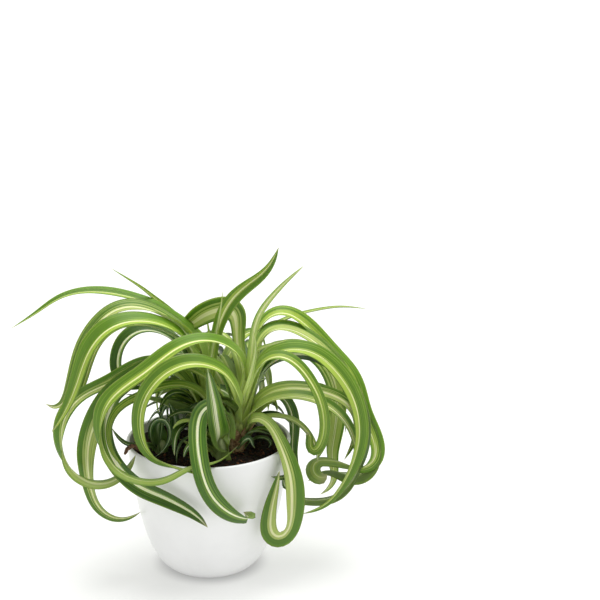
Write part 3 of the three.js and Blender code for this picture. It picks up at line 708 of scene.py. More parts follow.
def smooth(rows, at):
    """Rows of numbers read between their own places, by Catmull-Rom.

    Between two rows the value is the cubic that passes through both, with slopes there of half
    the difference between the rows on either side.
    """
    rows = np.asarray(rows, float)
    last = len(rows) - 1
    i = np.clip(at.astype(int), 0, last - 1)
    t = (at - i).reshape(-1, *[1] * (rows.ndim - 1))
    a, b, c, d = (rows[np.clip(i + k, 0, last)] for k in (-1, 0, 1, 2))
    return b + 0.5 * t * (c - a + t * (2 * a - 5 * b + 4 * c - d + t * (3 * (b - c) + d - a)))


def path(midrib, upper, width):
    """Even steps along a leaf: distance, place, direction across, direction up and half width."""
    steps = np.linalg.norm(np.diff(midrib, axis=0), axis=1)
    reach = np.concatenate([[0], np.cumsum(steps)])
    count = max(FEWEST_STEPS, int(reach[-1] / BLADE_STEP))
    along = np.linspace(0, 1, count + 1) * reach[-1]
    at = np.interp(along, reach, np.arange(len(reach)))
    line = smooth(midrib, at)
    ahead = unit(np.gradient(line, axis=0))
    up = smooth(upper, at)
    up = unit(up - (up * ahead).sum(-1, keepdims=True) * ahead)
    half = 0.5 * np.maximum(smooth(width, at), NARROWEST)
    return along, line, np.cross(ahead, up), up, half[:, None]


print("a blade has a ring every", BLADE_STEP / MM, "mm")

# %% [markdown]
# ## Fold and ripple
# Where a leaf clasps its shoot it is folded in a steady gutter. Further out the gutter opens and
# closes a little, and the edges ripple, because they grow faster than the midrib. Both are slow
# sines of the distance along the blade, and each leaf starts them at another place.

# %% Carry an outline along the midrib
HALF_POINTS = 14  # steps across the upper side, and as many back below
MIDRIB_THICKNESS = 0.75 * MM
EDGE_THICKNESS = 0.22 * MM
CLASP_LENGTH = 34 * MM
CLASP_FOLD = 0.45  # how far the edges rise, as a share of half the width, where a leaf clasps
OPEN_FOLD = 0.46  # the same for the open blade
FOLD_CHANGE = 0.25
FOLD_LENGTH = 19 * MM
RIPPLE = 0.05
RIPPLE_LENGTH = 11 * MM
GROOVE_ROUNDING = 0.015
GROOVE_DROP = 0.45


def blade(midrib, upper, width, seed):
    """Rings, end and point values of a blade along a line of midrib points.

    Across the blade a goes from -1 to 1. The upper side stands fold * half * (root of a squared
    plus a small number) above the midrib, so the fold is a soft V, and the lower side lies below
    it by a thickness that goes with 1 - a squared. The fold swells and slackens as a slow sine
    along the blade, and a quicker sine tilts the edges by a squared.
    """
    generator = np.random.default_rng(seed)
    along, line, across, up, half = path(midrib, upper, width)
    over = np.linspace(-1, 1, HALF_POINTS + 1)
    a = np.concatenate([over, over[::-1][1:-1]])
    lower = np.concatenate([np.zeros(HALF_POINTS + 1), np.ones(HALF_POINTS - 1)])
    edge = abs(a) > 0.999
    side = np.where(lower > 0, -0.5, 0.5)

    clasp = 1 - ease(along / CLASP_LENGTH)[:, None]
    swell = np.sin(along / FOLD_LENGTH + generator.uniform(0, 6))
    open_fold = OPEN_FOLD * (1 + FOLD_CHANGE * swell)
    fold = clasp * CLASP_FOLD + (1 - clasp) * open_fold[:, None]
    groove = np.sqrt(a**2 + GROOVE_ROUNDING) - GROOVE_DROP
    tilt = np.sin(along[:, None] / RIPPLE_LENGTH + generator.uniform(0, 6))
    ripple = RIPPLE * a * abs(a) * tilt
    thick = np.minimum(MIDRIB_THICKNESS, 0.5 * half) - EDGE_THICKNESS
    height = fold * half * groove + ripple * half + side * (1 - a**2) * thick
    height += side * EDGE_THICKNESS * ~edge
    rings = line[:, None] + across[:, None] * (a * half)[..., None] + up[:, None] * height[..., None]

    values = {"across": a, "under": np.where(edge, 0.5, lower), "along": along[:, None],
              "share": along[:, None] / along[-1]}
    shape = (len(line), len(a))
    values = {key: np.broadcast_to(value, shape)[:-1].ravel() for key, value in values.items()}
    return rings[:-1], line[-1], values


print("blades are", HALF_POINTS, "steps across")


# %% Close a blade and give it its own numbers
def blade_parts(line, number, constants):
    """Points, faces, places and values of one closed blade.

    The constants are held at every point. The number picks the blade's fold and ripple.
    """
    rings, end, values = blade(*line, number)
    points, faces, places = skin(rings, rings[0].mean(axis=0), end)
    ends = {"across": (0, 0), "under": (0, 0), "along": (0, values["along"][-1]), "share": (0, 1)}
    values = {key: np.append(values[key], ends[key]) for key in values}
    values |= {key: np.full(len(points), value) for key, value in constants.items()}
    return points, faces, places, values


def chance_values(generator, tones, shifts):
    """What makes one leaf differ from the next: its place in the noise, its tone and its shift."""
    return {"seed": generator.uniform(0, 1), "tone": generator.uniform(*tones),
            "shift": generator.uniform(*shifts)}


print("each blade holds across, under, along and share at its points")

# %% [markdown]
# ## Variegation
# The green of this plant stops short of the middle of the blade, where the tissue has no
# chlorophyll: a cream stripe with lime flanks runs from base to tip. Its edges are not clean,
# because the stripe is made of cell files, which come and go as long streaks. Painting it by hand
# would take a texture. Here it is worked out from two numbers that each point of a blade holds:
# how far across it lies, and how far along. Noise that is stretched fifty to five hundred times
# along the blade gives the streaks.

# %% A node group for the pattern, and its streaks
BLADE_INPUTS = {
    "Green": ("Color", colour(74, 122, 26)), "Lime": ("Color", colour(140, 168, 74)),
    "Cream": ("Color", colour(212, 218, 160)), "Under": ("Color", colour(150, 168, 96)),
    "Base": ("Color", colour(188, 204, 118)), "Stripe": ("Float", 0.1), "Flank": ("Float", 0.5),
    "Base Length": ("Float", 0.08),
}
BLADE_OUTPUTS = {"Color": "Color", "Height": "Float", "Roughness": "Float"}
SEED_SPREAD = 37.0  # how far apart two leaves can lie in the noise
pattern, source, result = new_group("variegated_blade", BLADE_INPUTS, BLADE_OUTPUTS)
across, along, seed, shift = (attribute(pattern, n) for n in ("across", "along", "seed", "shift"))


def pattern_calc(operation, *values):
    """One step of arithmetic in the pattern group."""
    return calc(pattern, operation, *values)


def streaks(across_scale, along_scale, offset, detail):
    """Noise from -0.5 to 0.5 that is stretched along the blade.

    It is read at across and along, each times its scale, and at a third number that is the
    leaf's seed times a spread, plus an offset.
    """
    x = pattern_calc("MULTIPLY", across, across_scale)
    y = pattern_calc("MULTIPLY", along, along_scale)
    z = pattern_calc("MULTIPLY_ADD", seed, SEED_SPREAD, offset)
    place = add_node(pattern, "CombineXYZ", {0: x, 1: y, 2: z}).outputs[0]
    inputs = {"Vector": place, "Scale": 1.0, "Detail": detail}
    return pattern_calc("SUBTRACT", add_node(pattern, "TexNoise", inputs).outputs["Fac"], 0.5)


wander = pattern_calc("MULTIPLY", streaks(0.0, 16.0, 3.0, 1.0), 0.3)
coarse = streaks(3.0, 9.0, 0.0, 2.0)
thin = streaks(6.5, 4.0, 11.0, 1.0)
fine = streaks(17.0, 5.0, 23.0, 1.0)
files = pattern_calc("MULTIPLY_ADD", fine, 0.6, thin)
print("pattern group has", len(pattern.nodes), "nodes so far")

# %% [markdown]
# ## Stripe, flanks and veins
# The stripe is a narrow band and the flanks are a wide one about the same line, which wanders a
# little as the leaf grows and lies nearer one edge on some leaves. The streaks push both bands'
# edges in and out. Beyond them lime hairlines and deep green files run over the whole blade. Its
# very edge is darkened as painted shade, for the shade where the fold turns the edge from the
# light. Veins are a plain sine across the blade.


# %% Work out the bands
VEIN_SCALE = 62.0  # a sine of this times across makes twenty veins


def step_down(tree, value, start, end):
    """1 below start, 0 above end, with a smooth slope between them."""
    inputs = {"Value": value, "From Min": start, "From Max": end, "To Min": 1, "To Max": 0}
    node = add_node(tree, "MapRange", inputs, interpolation_type="SMOOTHSTEP")
    return node.outputs["Result"]


def step_up(value, start, end):
    """0 below start, 1 above end, with a smooth slope between them."""
    return pattern_calc("SUBTRACT", 1.0, step_down(pattern, value, start, end))


def band(centre_share, file_share, half, inner, outer):
    """1 in a band along the blade and 0 beyond it, with a ragged edge.

    The band's middle lies at the leaf's shift times centre_share. The distance from it, with
    streaks added, steps down between half less inner and half plus outer.
    """
    centre = pattern_calc("MULTIPLY_ADD", shift, centre_share, wander)
    distance = pattern_calc("ABSOLUTE", pattern_calc("SUBTRACT", across, centre))
    uneven = pattern_calc("MULTIPLY_ADD", coarse, 0.5 * file_share, distance)
    ragged = pattern_calc("MULTIPLY_ADD", files, file_share, uneven)
    return step_down(pattern, ragged, pattern_calc("SUBTRACT", half, inner), pattern_calc("ADD", half, outer))


stripe = band(0.5, 0.5, source["Stripe"], 0.025, 0.025)
flank = band(1.0, 1.5, source["Flank"], 0.14, 0.05)
hairline = step_down(pattern, files, -0.22, -0.09)
deep = step_up(files, 0.06, 0.2)
# painted shade: the blade's very edge is darkened, where the fold would turn it from the light
painted_edge_shade = step_up(pattern_calc("ABSOLUTE", across), 0.84, 0.98)
veins = pattern_calc("SINE", pattern_calc("MULTIPLY", across, VEIN_SCALE))
print("pattern group has", len(pattern.nodes), "nodes so far")

# %% [markdown]
# ## Base, underside and tip
# Three things change a blade's colour away from its stripe. The base grew in the dark between
# older leaves, so it is pale yellow-green. The underside has a duller, paler skin. And the last
# few millimetres of an old tip are often dry. Each is one more colour laid over the stripe. Last,
# one shade makes the whole blade lighter or darker: it rises and falls with the streaks and is a
# little different on every leaf, and it also carries painted shade that falls towards the
# hanging tip and at the very edge.

# %% Finish the pattern group
BASE_START = 0.012
DRY_TIP = colour(176, 168, 132)
BASIC_SHADE = 1.26
share = attribute(pattern, "share")
under = attribute(pattern, "under")
base = step_down(pattern, along, BASE_START, pattern_calc("ADD", source["Base Length"], BASE_START))
dry = step_up(share, 0.965, 0.995)
layers = [  # where a layer lies, how much of it, and its colour
    (flank, 1.0, source["Lime"]), (hairline, 0.5, source["Lime"]), (stripe, 1.0, source["Cream"]),
    (deep, 0.45, source["Green"]), (under, 0.45, source["Under"]), (base, 0.8, source["Base"]),
    (dry, 0.6, DRY_TIP),
]
blade_colour = source["Green"]
for where, amount, layer in layers:
    blade_colour = blend_colours(pattern, pattern_calc("MULTIPLY", where, amount), blade_colour, layer)
shade = BASIC_SHADE
# painted shade: the edge term darkens the blade's very edge, and the share term darkens it towards the tip
for part, weight in ((veins, 0.02), (coarse, 0.5), (fine, 0.3), (painted_edge_shade, -0.32), (share, -0.4)):
    shade = pattern_calc("MULTIPLY_ADD", part, weight, shade)
shade = pattern_calc("MULTIPLY", shade, pattern_calc("MULTIPLY_ADD", attribute(pattern, "tone"), 0.5, 0.75))
shaded = add_node(pattern, "HueSaturation", {"Value": shade, "Color": blade_colour})
pattern.links.new(shaded.outputs[0], result["Color"])
pattern.links.new(pattern_calc("MULTIPLY_ADD", thin, 0.8, veins), result["Height"])
rough = pattern_calc("MULTIPLY_ADD", coarse, 0.25, 0.4)
pattern.links.new(pattern_calc("MULTIPLY_ADD", under, 0.135, rough), result["Roughness"])
print("pattern group has", len(pattern.nodes), "nodes")

# %% [markdown]
# ## Leaf materials
# Old leaves are dark with a crisp white stripe, young ones light with a lime flush, and the
# slender new ones nearly all cream. They are one plant, so they share the pattern group, and
# each material only sets its own colours and widths. A leaf is thin enough to let some light
# through, so light is scattered under its skin for about a millimetre, green light the furthest.

# %% Make the leaf materials
# Colours are screen values, and what a look leaves out keeps the group's own value.
LEAF_LOOKS = {
    "fresh": {"Green": (92, 130, 26), "Lime": (158, 180, 70), "Cream": (226, 230, 170),
              "Stripe": 0.06, "Flank": 0.5},
    "broad": {"Green": (86, 124, 30), "Lime": (178, 192, 106), "Cream": (232, 234, 182),
              "Stripe": 0.13, "Flank": 0.62},
    "dark": {"Green": (56, 90, 24), "Lime": (106, 138, 52), "Cream": (232, 236, 196),
             "Base": (140, 164, 84), "Stripe": 0.11, "Flank": 0.36, "Base Length": 0.03},
    "bold": {"Green": (66, 102, 28), "Lime": (120, 152, 58), "Cream": (236, 240, 200),
             "Base": (140, 164, 84), "Stripe": 0.18, "Flank": 0.42, "Base Length": 0.03},
    "pale": {"Green": (112, 148, 56), "Lime": (174, 192, 112), "Stripe": 0.24, "Flank": 0.9},
    "small": {"Green": (54, 86, 40), "Lime": (104, 134, 76), "Cream": (190, 204, 162),
              "Base": (100, 126, 66), "Stripe": 0.14, "Flank": 0.4, "Base Length": 0.015},
}
SCATTER = {"Subsurface_Weight": 0.4, "Subsurface_Scale": 0.0015,
           "Subsurface_Radius": (0.8, 1, 0.3)}
blade_materials = {}
for kind, look in LEAF_LOOKS.items():
    material, tree, shader = new_material("blade_" + kind, Specular_IOR_Level=0.35, **SCATTER)
    inputs = {key: look[key] for key in look if isinstance(look[key], float)}
    inputs |= {key: colour(*look[key]) for key in look if key not in inputs}
    outputs = use_group(tree, pattern, inputs)
    tree.links.new(outputs["Color"], shader.inputs["Base Color"])
    tree.links.new(outputs["Roughness"], shader.inputs["Roughness"])
    relief(tree, shader, outputs["Height"], 0.25, 0.00025)
    blade_materials[kind] = material
print(len(blade_materials), "leaf materials")

# %% [markdown]
# ## Which leaf is which
# Leaves of one plant differ by age, by light and by place. A table says which look each leaf of
# the frame has, and any leaf that it leaves out is fresh. Another says how far the pale band lies
# off the middle. It only seems to on the real plant, where a leaf that lies turned shows more of
# one half than of the other.

# %% Give each leaf its look
KINDS = {
    "bold": ["blade_over_pot", "blade_centre", "hook_front", "curl_left_dark"],
    "dark": ["ring_right_low", "hang_right_dark", "ring_right_outer", "curl_right_low",
             "curl_right_tip", "arch_back_left", "arch_back_middle", "arch_back_right",
             "leaf_inner_left"],
    "broad": ["arch_left_outer", "loop_top", "ring_left_low", "hang_left", "arch_right_cream",
              "hang_right_pale", "arch_right_grey", "arch_right_low_back",
              "arch_right_low_front", "hairpin_front"],
    "pale": ["spike_pale", "spike_right", "blade_upright_pale", "tip_right_pale", "spike_thin",
             "leaf_on_soil"],
    "small": ["curl_by_crown_top", "curl_by_crown_hook", "curl_by_crown_low", "offset_blade",
              "offset_ring", "offset_heart", "offset_strand", "offset_over_rim"],
}
KIND_OF = {name: kind for kind, names in KINDS.items() for name in names}
# How far a leaf's pale band lies off its middle, as a share of half its width. On a leaf that
# goes left the band nears the lower edge when this is below 0, and on one that goes right when
# it is above.
SHIFTS = {
    "arch_left_outer": -0.35, "spike_far_left": -0.45, "curl_left_dark": -0.5,
    "ring_left_low": -0.3, "ring_large": -0.35, "ring_front": -0.35, "hang_left": -0.25,
    "arch_left_inner": -0.3, "arch_right_bright": 0.4, "hairpin_front": 0.35, "loop_top": -0.1,
    "ring_right_tall": 0.1, "arch_right_grey": 0.2, "blade_centre": 0, "hook_front": 0.1,
    "spike_highest": -0.25, "arch_right_low_back": 0.2, "arch_right_low_front": 0.25,
}
print({kind: len(names) for kind, names in KINDS.items()}, "and the rest fresh")

# %% [markdown]
# ## Habits
# A blade's width along its length is its habit: most widen soon and taper all the way, some are
# slender at the foot and full near the tip, and a curled one stays wide until it ends. The frame's
# ribbons keep to one plain habit. Where a leaf has another, this table changes the numbers of the
# width formula, whose defaults suit all the rest.

# %% List the habits
FULL = {"taper": 20, "blunt": 0.5}  # stays wide to its tip
NEARLY_FULL = {"taper": 12, "blunt": 0.6}
HABITS = {
    "arch_left_outer": {"fuller": 1.15, "taper": 4},
    "arch_left_middle": {"fuller": 1.05, "taper": 3.4},
    "spike_far_left": {"fuller": 1.4, "taper": 1.9, "blunt": 0.95},
    "spike_up_left": {"taper": 2, "blunt": 0.9},
    "curl_left_dark": {"fuller": 1.25, "taper": 4},
    "ring_left_low": {"fuller": 1.1, "taper": 8},
    "hang_left": {"taper": 4},
    "ring_large": {"fuller": 1.15, "full_at": 0.55},
    "ring_front": {"fuller": 1.05, "taper": 4},
    "blade_over_pot": {"fuller": 0.95, "base": 0.35, "full_at": 0.9, "taper": 9},
    "blade_centre": {"fuller": 0.95, "base": 1},
    "hook_front": {"fuller": 0.9, **FULL},
    "hairpin_front": {"fuller": 1.32, "base": 0.4, "full_at": 0.72, "taper": 3.8},
    "curl_right_low": NEARLY_FULL,
    "curl_right_tip": NEARLY_FULL,
    "spike_highest": {"fuller": 1.25, "base": 0.6, "full_at": 0.65, "taper": 3.4},
    "loop_top": {"fuller": 1, "base": 0.4, "full_at": 0.72, "taper": 6},
    "tip_far_right": {"fuller": 1.45, "taper": 2},
    "arch_right_top": FULL,
    "arch_right_bright": {"fuller": 0.85, "taper": 3.4},
    "arch_right_grey": {"fuller": 1.35},
    "ring_right_tall": {"fuller": 0.8, "taper": 5},
    "ring_right_outer": {"fuller": 1.2, **FULL},
    "ring_right_low": NEARLY_FULL,
    "hang_right_pale": {"taper": 6},
    "hang_right_dark": {"fuller": 0.85, "taper": 6},
    "leaf_inner_left": {"fuller": 1.35},
    "leaf_inner_short": {"fuller": 1.3},
    "curl_by_crown_top": {"fuller": 1.3},
    "curl_by_crown_hook": {"fuller": 1.3},
    "offset_blade": {"fuller": 1.5},
    "offset_heart": {"fuller": 1.4},
    "offset_over_rim": {"fuller": 1.25},
}
print(len(HABITS), "leaves have a habit of their own")

# %% [markdown]
# ## Curls and nudges
# The tips of this plant roll up like wood shavings. A ribbon of the frame can't roll as tightly,
# so four tips are carried on in a spiral. A few lines are also moved by some millimetres at one
# place, where the finer blade would otherwise hang too low or touch the pot.


# %% Roll a tip on
# Where to, with what radius in mm, through how many degrees, and how many of the line's last
# points are left off first.
CURLS = {
    "arch_right_top": ((1, 0, -0.3), 10, 230, 3), "ring_right_low": ((0, 0, 1), 14, 60, 0),
    "curl_left_dark": ((1, 0, 0), 9, 50, 0), "ring_right_tall": ((-0.4, 0, 1), 5, 110, 0),
}


def curled(midrib, upper, towards, radius, degrees, left_off):
    """A leaf's line carried on in a spiral, and its upper directions turned along with it.

    The direction is cos(angle) times the tip's own plus sin(angle) times the given one, and the
    angle grows evenly, while the radius shrinks to half.
    """
    kept = len(midrib) - left_off
    midrib, upper = midrib[:kept], upper[:kept]
    ahead = unit(midrib[-1] - midrib[-3])
    bend = unit(np.array(towards) - np.dot(towards, ahead) * ahead)
    step = np.linalg.norm(midrib[-2] - midrib[-3])
    count = int(radius * MM * math.radians(degrees) * 0.75 / step) + 2
    angle = np.linspace(0, math.radians(degrees), count + 1)[1:, None]
    length = radius * MM * (1 - 0.5 * angle / angle[-1]) * angle[0]
    ahead_now = np.cos(angle) * ahead + np.sin(angle) * bend
    bend_now = np.cos(angle) * bend - np.sin(angle) * ahead
    added = midrib[-1] + np.cumsum(length * ahead_now, axis=0)
    along, outward = np.dot(upper[-1], ahead), np.dot(upper[-1], bend)
    level = upper[-1] - along * ahead - outward * bend
    turned = level + along * ahead_now + outward * bend_now
    return np.concatenate([midrib, added]), np.concatenate([upper, turned])


print(len(CURLS), "tips roll on")

# %% Move a line at one place
# The greatest move in mm across, along and up, where along the leaf it is, and how widely it
# spreads, the last two as shares of the leaf's length.
NUDGES = {
    "hairpin_front": ((0, 0, 2.5), 0.66, 0.1), "blade_over_pot": ((8, 0, 2), 0.6, 0.22),
    "hang_left": ((5, 0, 0), 0.47, 0.14), "loop_top": ((-5, 0, 0), 0.42, 0.15),
    "hook_front": ((0, 0, -2.5), 0.95, 0.15), "arch_right_top": ((-2.5, 0, -2), 0.5, 0.3),
    "spike_far_left": ((0, 0, -1.5), 0.7, 0.3), "arch_right_grey": ((0, 0, 3), 0.4, 0.2),
    "curl_right_tip": ((0, 0, 1.8), 0.55, 0.3),
}


def nudged(midrib, vector, middle, spread):
    """A leaf's line moved by a vector times a bell curve along it.

    The curve is e to the power of less the square of the distance from middle over spread.
    """
    share = np.linspace(0, 1, len(midrib))[:, None]
    return midrib + np.exp(-(((share - middle) / spread) ** 2)) * np.array(vector) * MM


print(len(NUDGES), "lines are moved")


# %% Dress every leaf of the frame
FIRST_SEED = 100


def dress_leaf(name, number):
    """The finished blade of one leaf of the frame."""
    midrib, upper, width = leaves[name]
    if name in NUDGES:
        midrib = nudged(midrib, *NUDGES[name])
    if name in CURLS:
        midrib, upper = curled(midrib, upper, *CURLS[name])
    share = np.linspace(0, 1, len(midrib))
    width = habit_width(width, share, **HABITS.get(name, {}))
    generator = np.random.default_rng(FIRST_SEED + number)
    constants = chance_values(generator, (0.35, 0.65), (-0.3, 0.3))
    constants["shift"] = SHIFTS.get(name, constants["shift"])
    line = rooted(midrib, upper, width)
    points, faces, places, values = blade_parts(line, number, constants)
    material = blade_materials[KIND_OF.get(name, "fresh")]
    make_piece(name + "_blade", points, faces, material, [name], places, values)
    return len(faces)


blade_triangles = sum(dress_leaf(name, k) for k, name in enumerate(leaves))
print("blades hold", blade_triangles, "triangles")

# %% [markdown]
# ## Leaves between and behind
# The frame holds the leaves that give the plant its outline. A real pot is fuller: shorter leaves
# fill the middle, small ones stand low round the shoots, and more arches hang at the back. They
# repeat one habit, so each is grown from a few chance numbers: it leaves its shoot steeply, bends
# over at an even rate and turns a little as it goes. A leaf is only kept if it stays clear of the
# pot and of the leaves that are already there, lies within the plant's outline as the camera sees
# it, and doesn't close one of the windows through which one sees past the plant.

# %% How a leaf grows
GROWTH_POINTS = 44
OFF_SHOOT = 0.8 * MM


def grown(crown, up, bearing, length, rise, droop, turn, roll, width):
    """Midrib, upper directions and widths of a leaf that bends over as it leaves its shoot.

    Its direction's height above level falls from rise by droop times the share to the power 1.3,
    while its bearing turns by turn times the share to the power 1.5 and its upper side leans by
    roll times the share. The midrib is the running sum of those directions.
    """
    share = np.linspace(0, 1, GROWTH_POINTS)
    height = np.radians(rise - droop * share**1.3)
    heading = np.radians(bearing + turn * share**1.5)
    level = level_at(heading)
    upright = np.array([0, 0, 1])
    ahead = np.cos(height)[:, None] * level + np.sin(height)[:, None] * upright
    upper = np.cos(height)[:, None] * upright - np.sin(height)[:, None] * level
    about = np.radians(roll * share)[:, None]
    upper = upper * np.cos(about) + np.cross(ahead, upper) * np.sin(about)
    middle, radius = crown_at(crown, crown[0][:1, 2] + up * (crown[2] - crown[0][0])[2])
    start = middle + (radius + OFF_SHOOT) * level[:1]
    steps = ahead * (length * MM) / (GROWTH_POINTS - 1)
    widths = habit_width(np.array([width * MM * PLAIN_SHARE]), share)
    return start + np.cumsum(steps, axis=0) - steps[0], upper, widths


print("a grown leaf has", GROWTH_POINTS, "points")

# %% Rules for where it may lie
WINDOWS = np.array([
    (-46, 195, 14), (-54, 184, 8), (-38, 198, 8), (-75, 56, 12), (-86, 173, 8), (-92, 155, 5),
    (-111, 121, 7), (83, 132, 8), (65, 167, 8), (74, 168, 5), (-69, 125, 8), (-90, 83, 6),
    (113, 101, 5), (-74, 102, 5), (97, 162, 5), (76, 111, 5), (18, 208, 4),
    (69, 192, 3), (51, 215, 4), (-4, 205, 2), (-66, 111, 4),
]) * MM  # across and up on the upright sheet through the pot's axis, and radius
OUTLINE_MIDDLE = np.array([6, 92]) * MM  # the plant's outline on that sheet, as an ellipse
OUTLINE_REACH = np.array([136, 114]) * MM
LEAF_GAP = 1.6 * MM
BOX_GAP = 2 * MM
FROM_WALL, OVER_SOIL, OVER_RIM, PAST_RIM = 6, 3, 4, 5  # mm that a leaf keeps from the pot
ROOM_AT_SHOOT = 34 * MM  # length over which leaves of one shoot may lie close together


def closes_window(midrib, width):
    """True where the leaf covers part of a window or leaves the plant's outline.

    Each point is carried along its line of sight to the upright sheet through the pot's axis,
    where the windows are circles and the outline is an ellipse.
    """
    eye = np.array(camera.location)
    share = eye[1] / (eye[1] - midrib[:, 1])
    sheet = (eye + share[:, None] * (midrib - eye))[:, [0, 2]]
    outside = np.linalg.norm((sheet - OUTLINE_MIDDLE) / OUTLINE_REACH, axis=-1) > 1
    covers = distances(sheet, WINDOWS[:, :2]) < WINDOWS[:, 2] + 0.4 * width
    return covers.any() or outside.any()


def in_the_way(midrib, width, taken):
    """True where the leaf leaves the frame's box, meets the pot or comes close to another leaf."""
    reach = np.linalg.norm(midrib[:, :2], axis=1)
    inside = reach < (soil_radius - FROM_WALL) * MM
    over_soil = midrib[:, 2] > (SOIL_TOP + OVER_SOIL) * MM
    over_rim = midrib[:, 2] > (POT_HEIGHT + OVER_RIM) * MM
    past_rim = reach > (RIM_RADIUS + PAST_RIM) * MM
    room = BOX_GAP + 0.5 * width
    boxed = (midrib > np.array(frame_low) + room) & (midrib < np.array(frame_high) - room)
    if not (((inside & over_soil) | over_rim | past_rim) & boxed.all(axis=1)).all():
        return True
    travelled = np.linalg.norm(midrib - midrib[0], axis=1) > ROOM_AT_SHOOT
    return (distances(midrib[travelled], taken) < LEAF_GAP + 0.25 * width).any()


print(len(WINDOWS), "windows stay open")

# %% Where and how the three groups grow
GROUPS = {  # ranges in shares of the shoot's height, degrees and mm
    "leaves_between": {
        "count": 34, "tries": 1600, "seed": 21, "kinds": ["dark", "fresh", "small"],
        "shoots": ["crown_main", "crown_rear", "crown_front"], "up": (0.35, 0.95),
        "bearing": (0, 215), "length": (50, 130), "rise": (45, 86), "droop": (90, 230),
        "turn": (-60, 60), "roll": (-70, 70), "width": (7.5, 11),
    },
    "leaves_low": {
        "count": 26, "tries": 2500, "seed": 33, "kinds": ["dark", "small"],
        "shoots": ["crown_main", "crown_rear", "crown_front"], "up": (0.1, 0.5),
        "bearing": (0, 235), "length": (38, 80), "rise": (30, 70), "droop": (50, 170),
        "turn": (-80, 80), "roll": (-20, 20), "width": (8, 11.5),
    },
    "leaves_behind": {
        "count": 22, "tries": 4000, "seed": 5, "kinds": ["fresh", "broad"],
        "shoots": ["crown_main", "crown_rear"], "up": (0.35, 0.95),
        "bearing": (10, 170), "length": (120, 250), "rise": (50, 80), "droop": (120, 200),
        "turn": (-50, 50), "roll": (-60, 60), "width": (7, 10),
    },
}
HABIT_KEYS = ("bearing", "length", "rise", "droop", "turn", "roll", "width")


def grow(group, taken):
    """The lines of a group's leaves, each as midrib, upper directions and widths."""
    generator = np.random.default_rng(group["seed"])
    lines = []
    for _ in range(group["tries"]):
        crown = crowns[group["shoots"][generator.integers(len(group["shoots"]))]]
        up = generator.uniform(*group["up"])
        habit = [generator.uniform(*group[key]) for key in HABIT_KEYS]
        line = grown(crown, up, *habit)
        if closes_window(line[0], habit[-1] * MM) or in_the_way(line[0], habit[-1] * MM, taken):
            continue
        lines.append(line)
        taken = np.concatenate([taken, line[0]])
        if len(lines) == group["count"]:
            break
    return lines, taken


print([group["count"] for group in GROUPS.values()], "leaves are wanted")

# %% [markdown]
# ## Growing the leaves
# Every point of every leaf so far is kept in one array, so that a new leaf can be tested against
# all of them at once. A group's leaves that share a material become one mesh, because dozens of
# small objects would be slower to draw and to bake.


# %% Grow the leaves
STRIP_SHARE = 0.98  # how much of its strip of the sheet a blade takes up
GROWN_SEED, GROUP_SEEDS = 500, 50


def join_blades(lines, number):
    """One array each of points, faces, places and values for several blades.

    Each blade has a strip of the sheet to itself, and its corners count on from the one before.
    """
    joined, offset = [], 0
    generator = np.random.default_rng(number)
    for k, line in enumerate(lines):
        constants = chance_values(generator, (0.2, 0.5), (-0.5, 0.5))
        points, faces, places, values = blade_parts(rooted(*line), number + k, constants)
        places[..., 1] = (k + STRIP_SHARE * places[..., 1]) / len(lines)
        joined.append((points, faces + offset, places, values))
        offset += len(points)
    points, faces, places = (np.concatenate([part[n] for part in joined]) for n in range(3))
    return points, faces, places, {key: np.concatenate([part[3][key] for part in joined])
                                   for key in joined[0][3]}


taken = [smooth(m, np.linspace(0, len(m) - 1, 3 * len(m))) for m, _, _ in leaves.values()]
taken = np.concatenate(taken)
for number, (name, group) in enumerate(GROUPS.items()):
    lines, taken = grow(group, taken)
    kinds = group["kinds"]
    for n, kind in enumerate(kinds):
        seed = GROWN_SEED + GROUP_SEEDS * number + n
        points, faces, places, values = join_blades(lines[n::len(kinds)], seed)
        material = blade_materials[kind]
        make_piece(f"{name}_{kind}", points, faces, material, (), places, values)
    print(name, "grew", len(lines))

# %% [markdown]
# ## Shoots
# What looks like a stem is a bundle of leaf bases, each wrapped half round the next. A plain cone
# would show as one. So the bundle is a tube whose radius swells in lobes, one for each base, and
# the lobes drift round it a little on the way up.

# %% Rings of a shoot
SHOOT_SIDES = 60
SHOOT_RINGS = 26
OVER_TOP = 1 * MM
LOBES = 5


def shoot_rings(crown, seed):
    """Rings up a shoot, with the angles round it and the shares of its height.

    The shoot's own radius is multiplied by 0.86 plus a flare of 0.3 at the foot, and by the root
    of 1 less 0.9 times the share to the power 6, which rounds the top. Round it, 0.09 times the
    size of a sine makes the lobes, and the sine's phase drifts by 1.6 on the way up.
    """
    middles, _, top = crown
    generator = np.random.default_rng(seed)
    height = np.linspace(middles[0, 2] - BELOW_FOOT, top[2] + OVER_TOP, SHOOT_RINGS)
    middle, radius = crown_at(crown, height)
    up = np.linspace(0, 1, SHOOT_RINGS)
    radius = radius * (0.86 + 0.3 * np.exp(-((up / 0.12) ** 2))) * np.sqrt(1 - 0.9 * up**6)
    angle = np.arange(SHOOT_SIDES) * 2 * np.pi / SHOOT_SIDES
    drift = generator.uniform(0, 6) + 1.6 * up[:, None]
    swell = 0.96 + 0.09 * np.abs(np.sin(0.5 * LOBES * angle + drift))
    reach = (radius[:, None] * swell)[..., None]
    return middle[:, None] + reach * level_at(angle), angle, up


print("a shoot has", LOBES, "lobes")

# %% [markdown]
# ## Sheath colours
# A leaf base is pale green with fine fibres that run up it, and it browns where it meets the soil.
# Noise that is read quickly round the shoot and slowly up it gives the fibres.

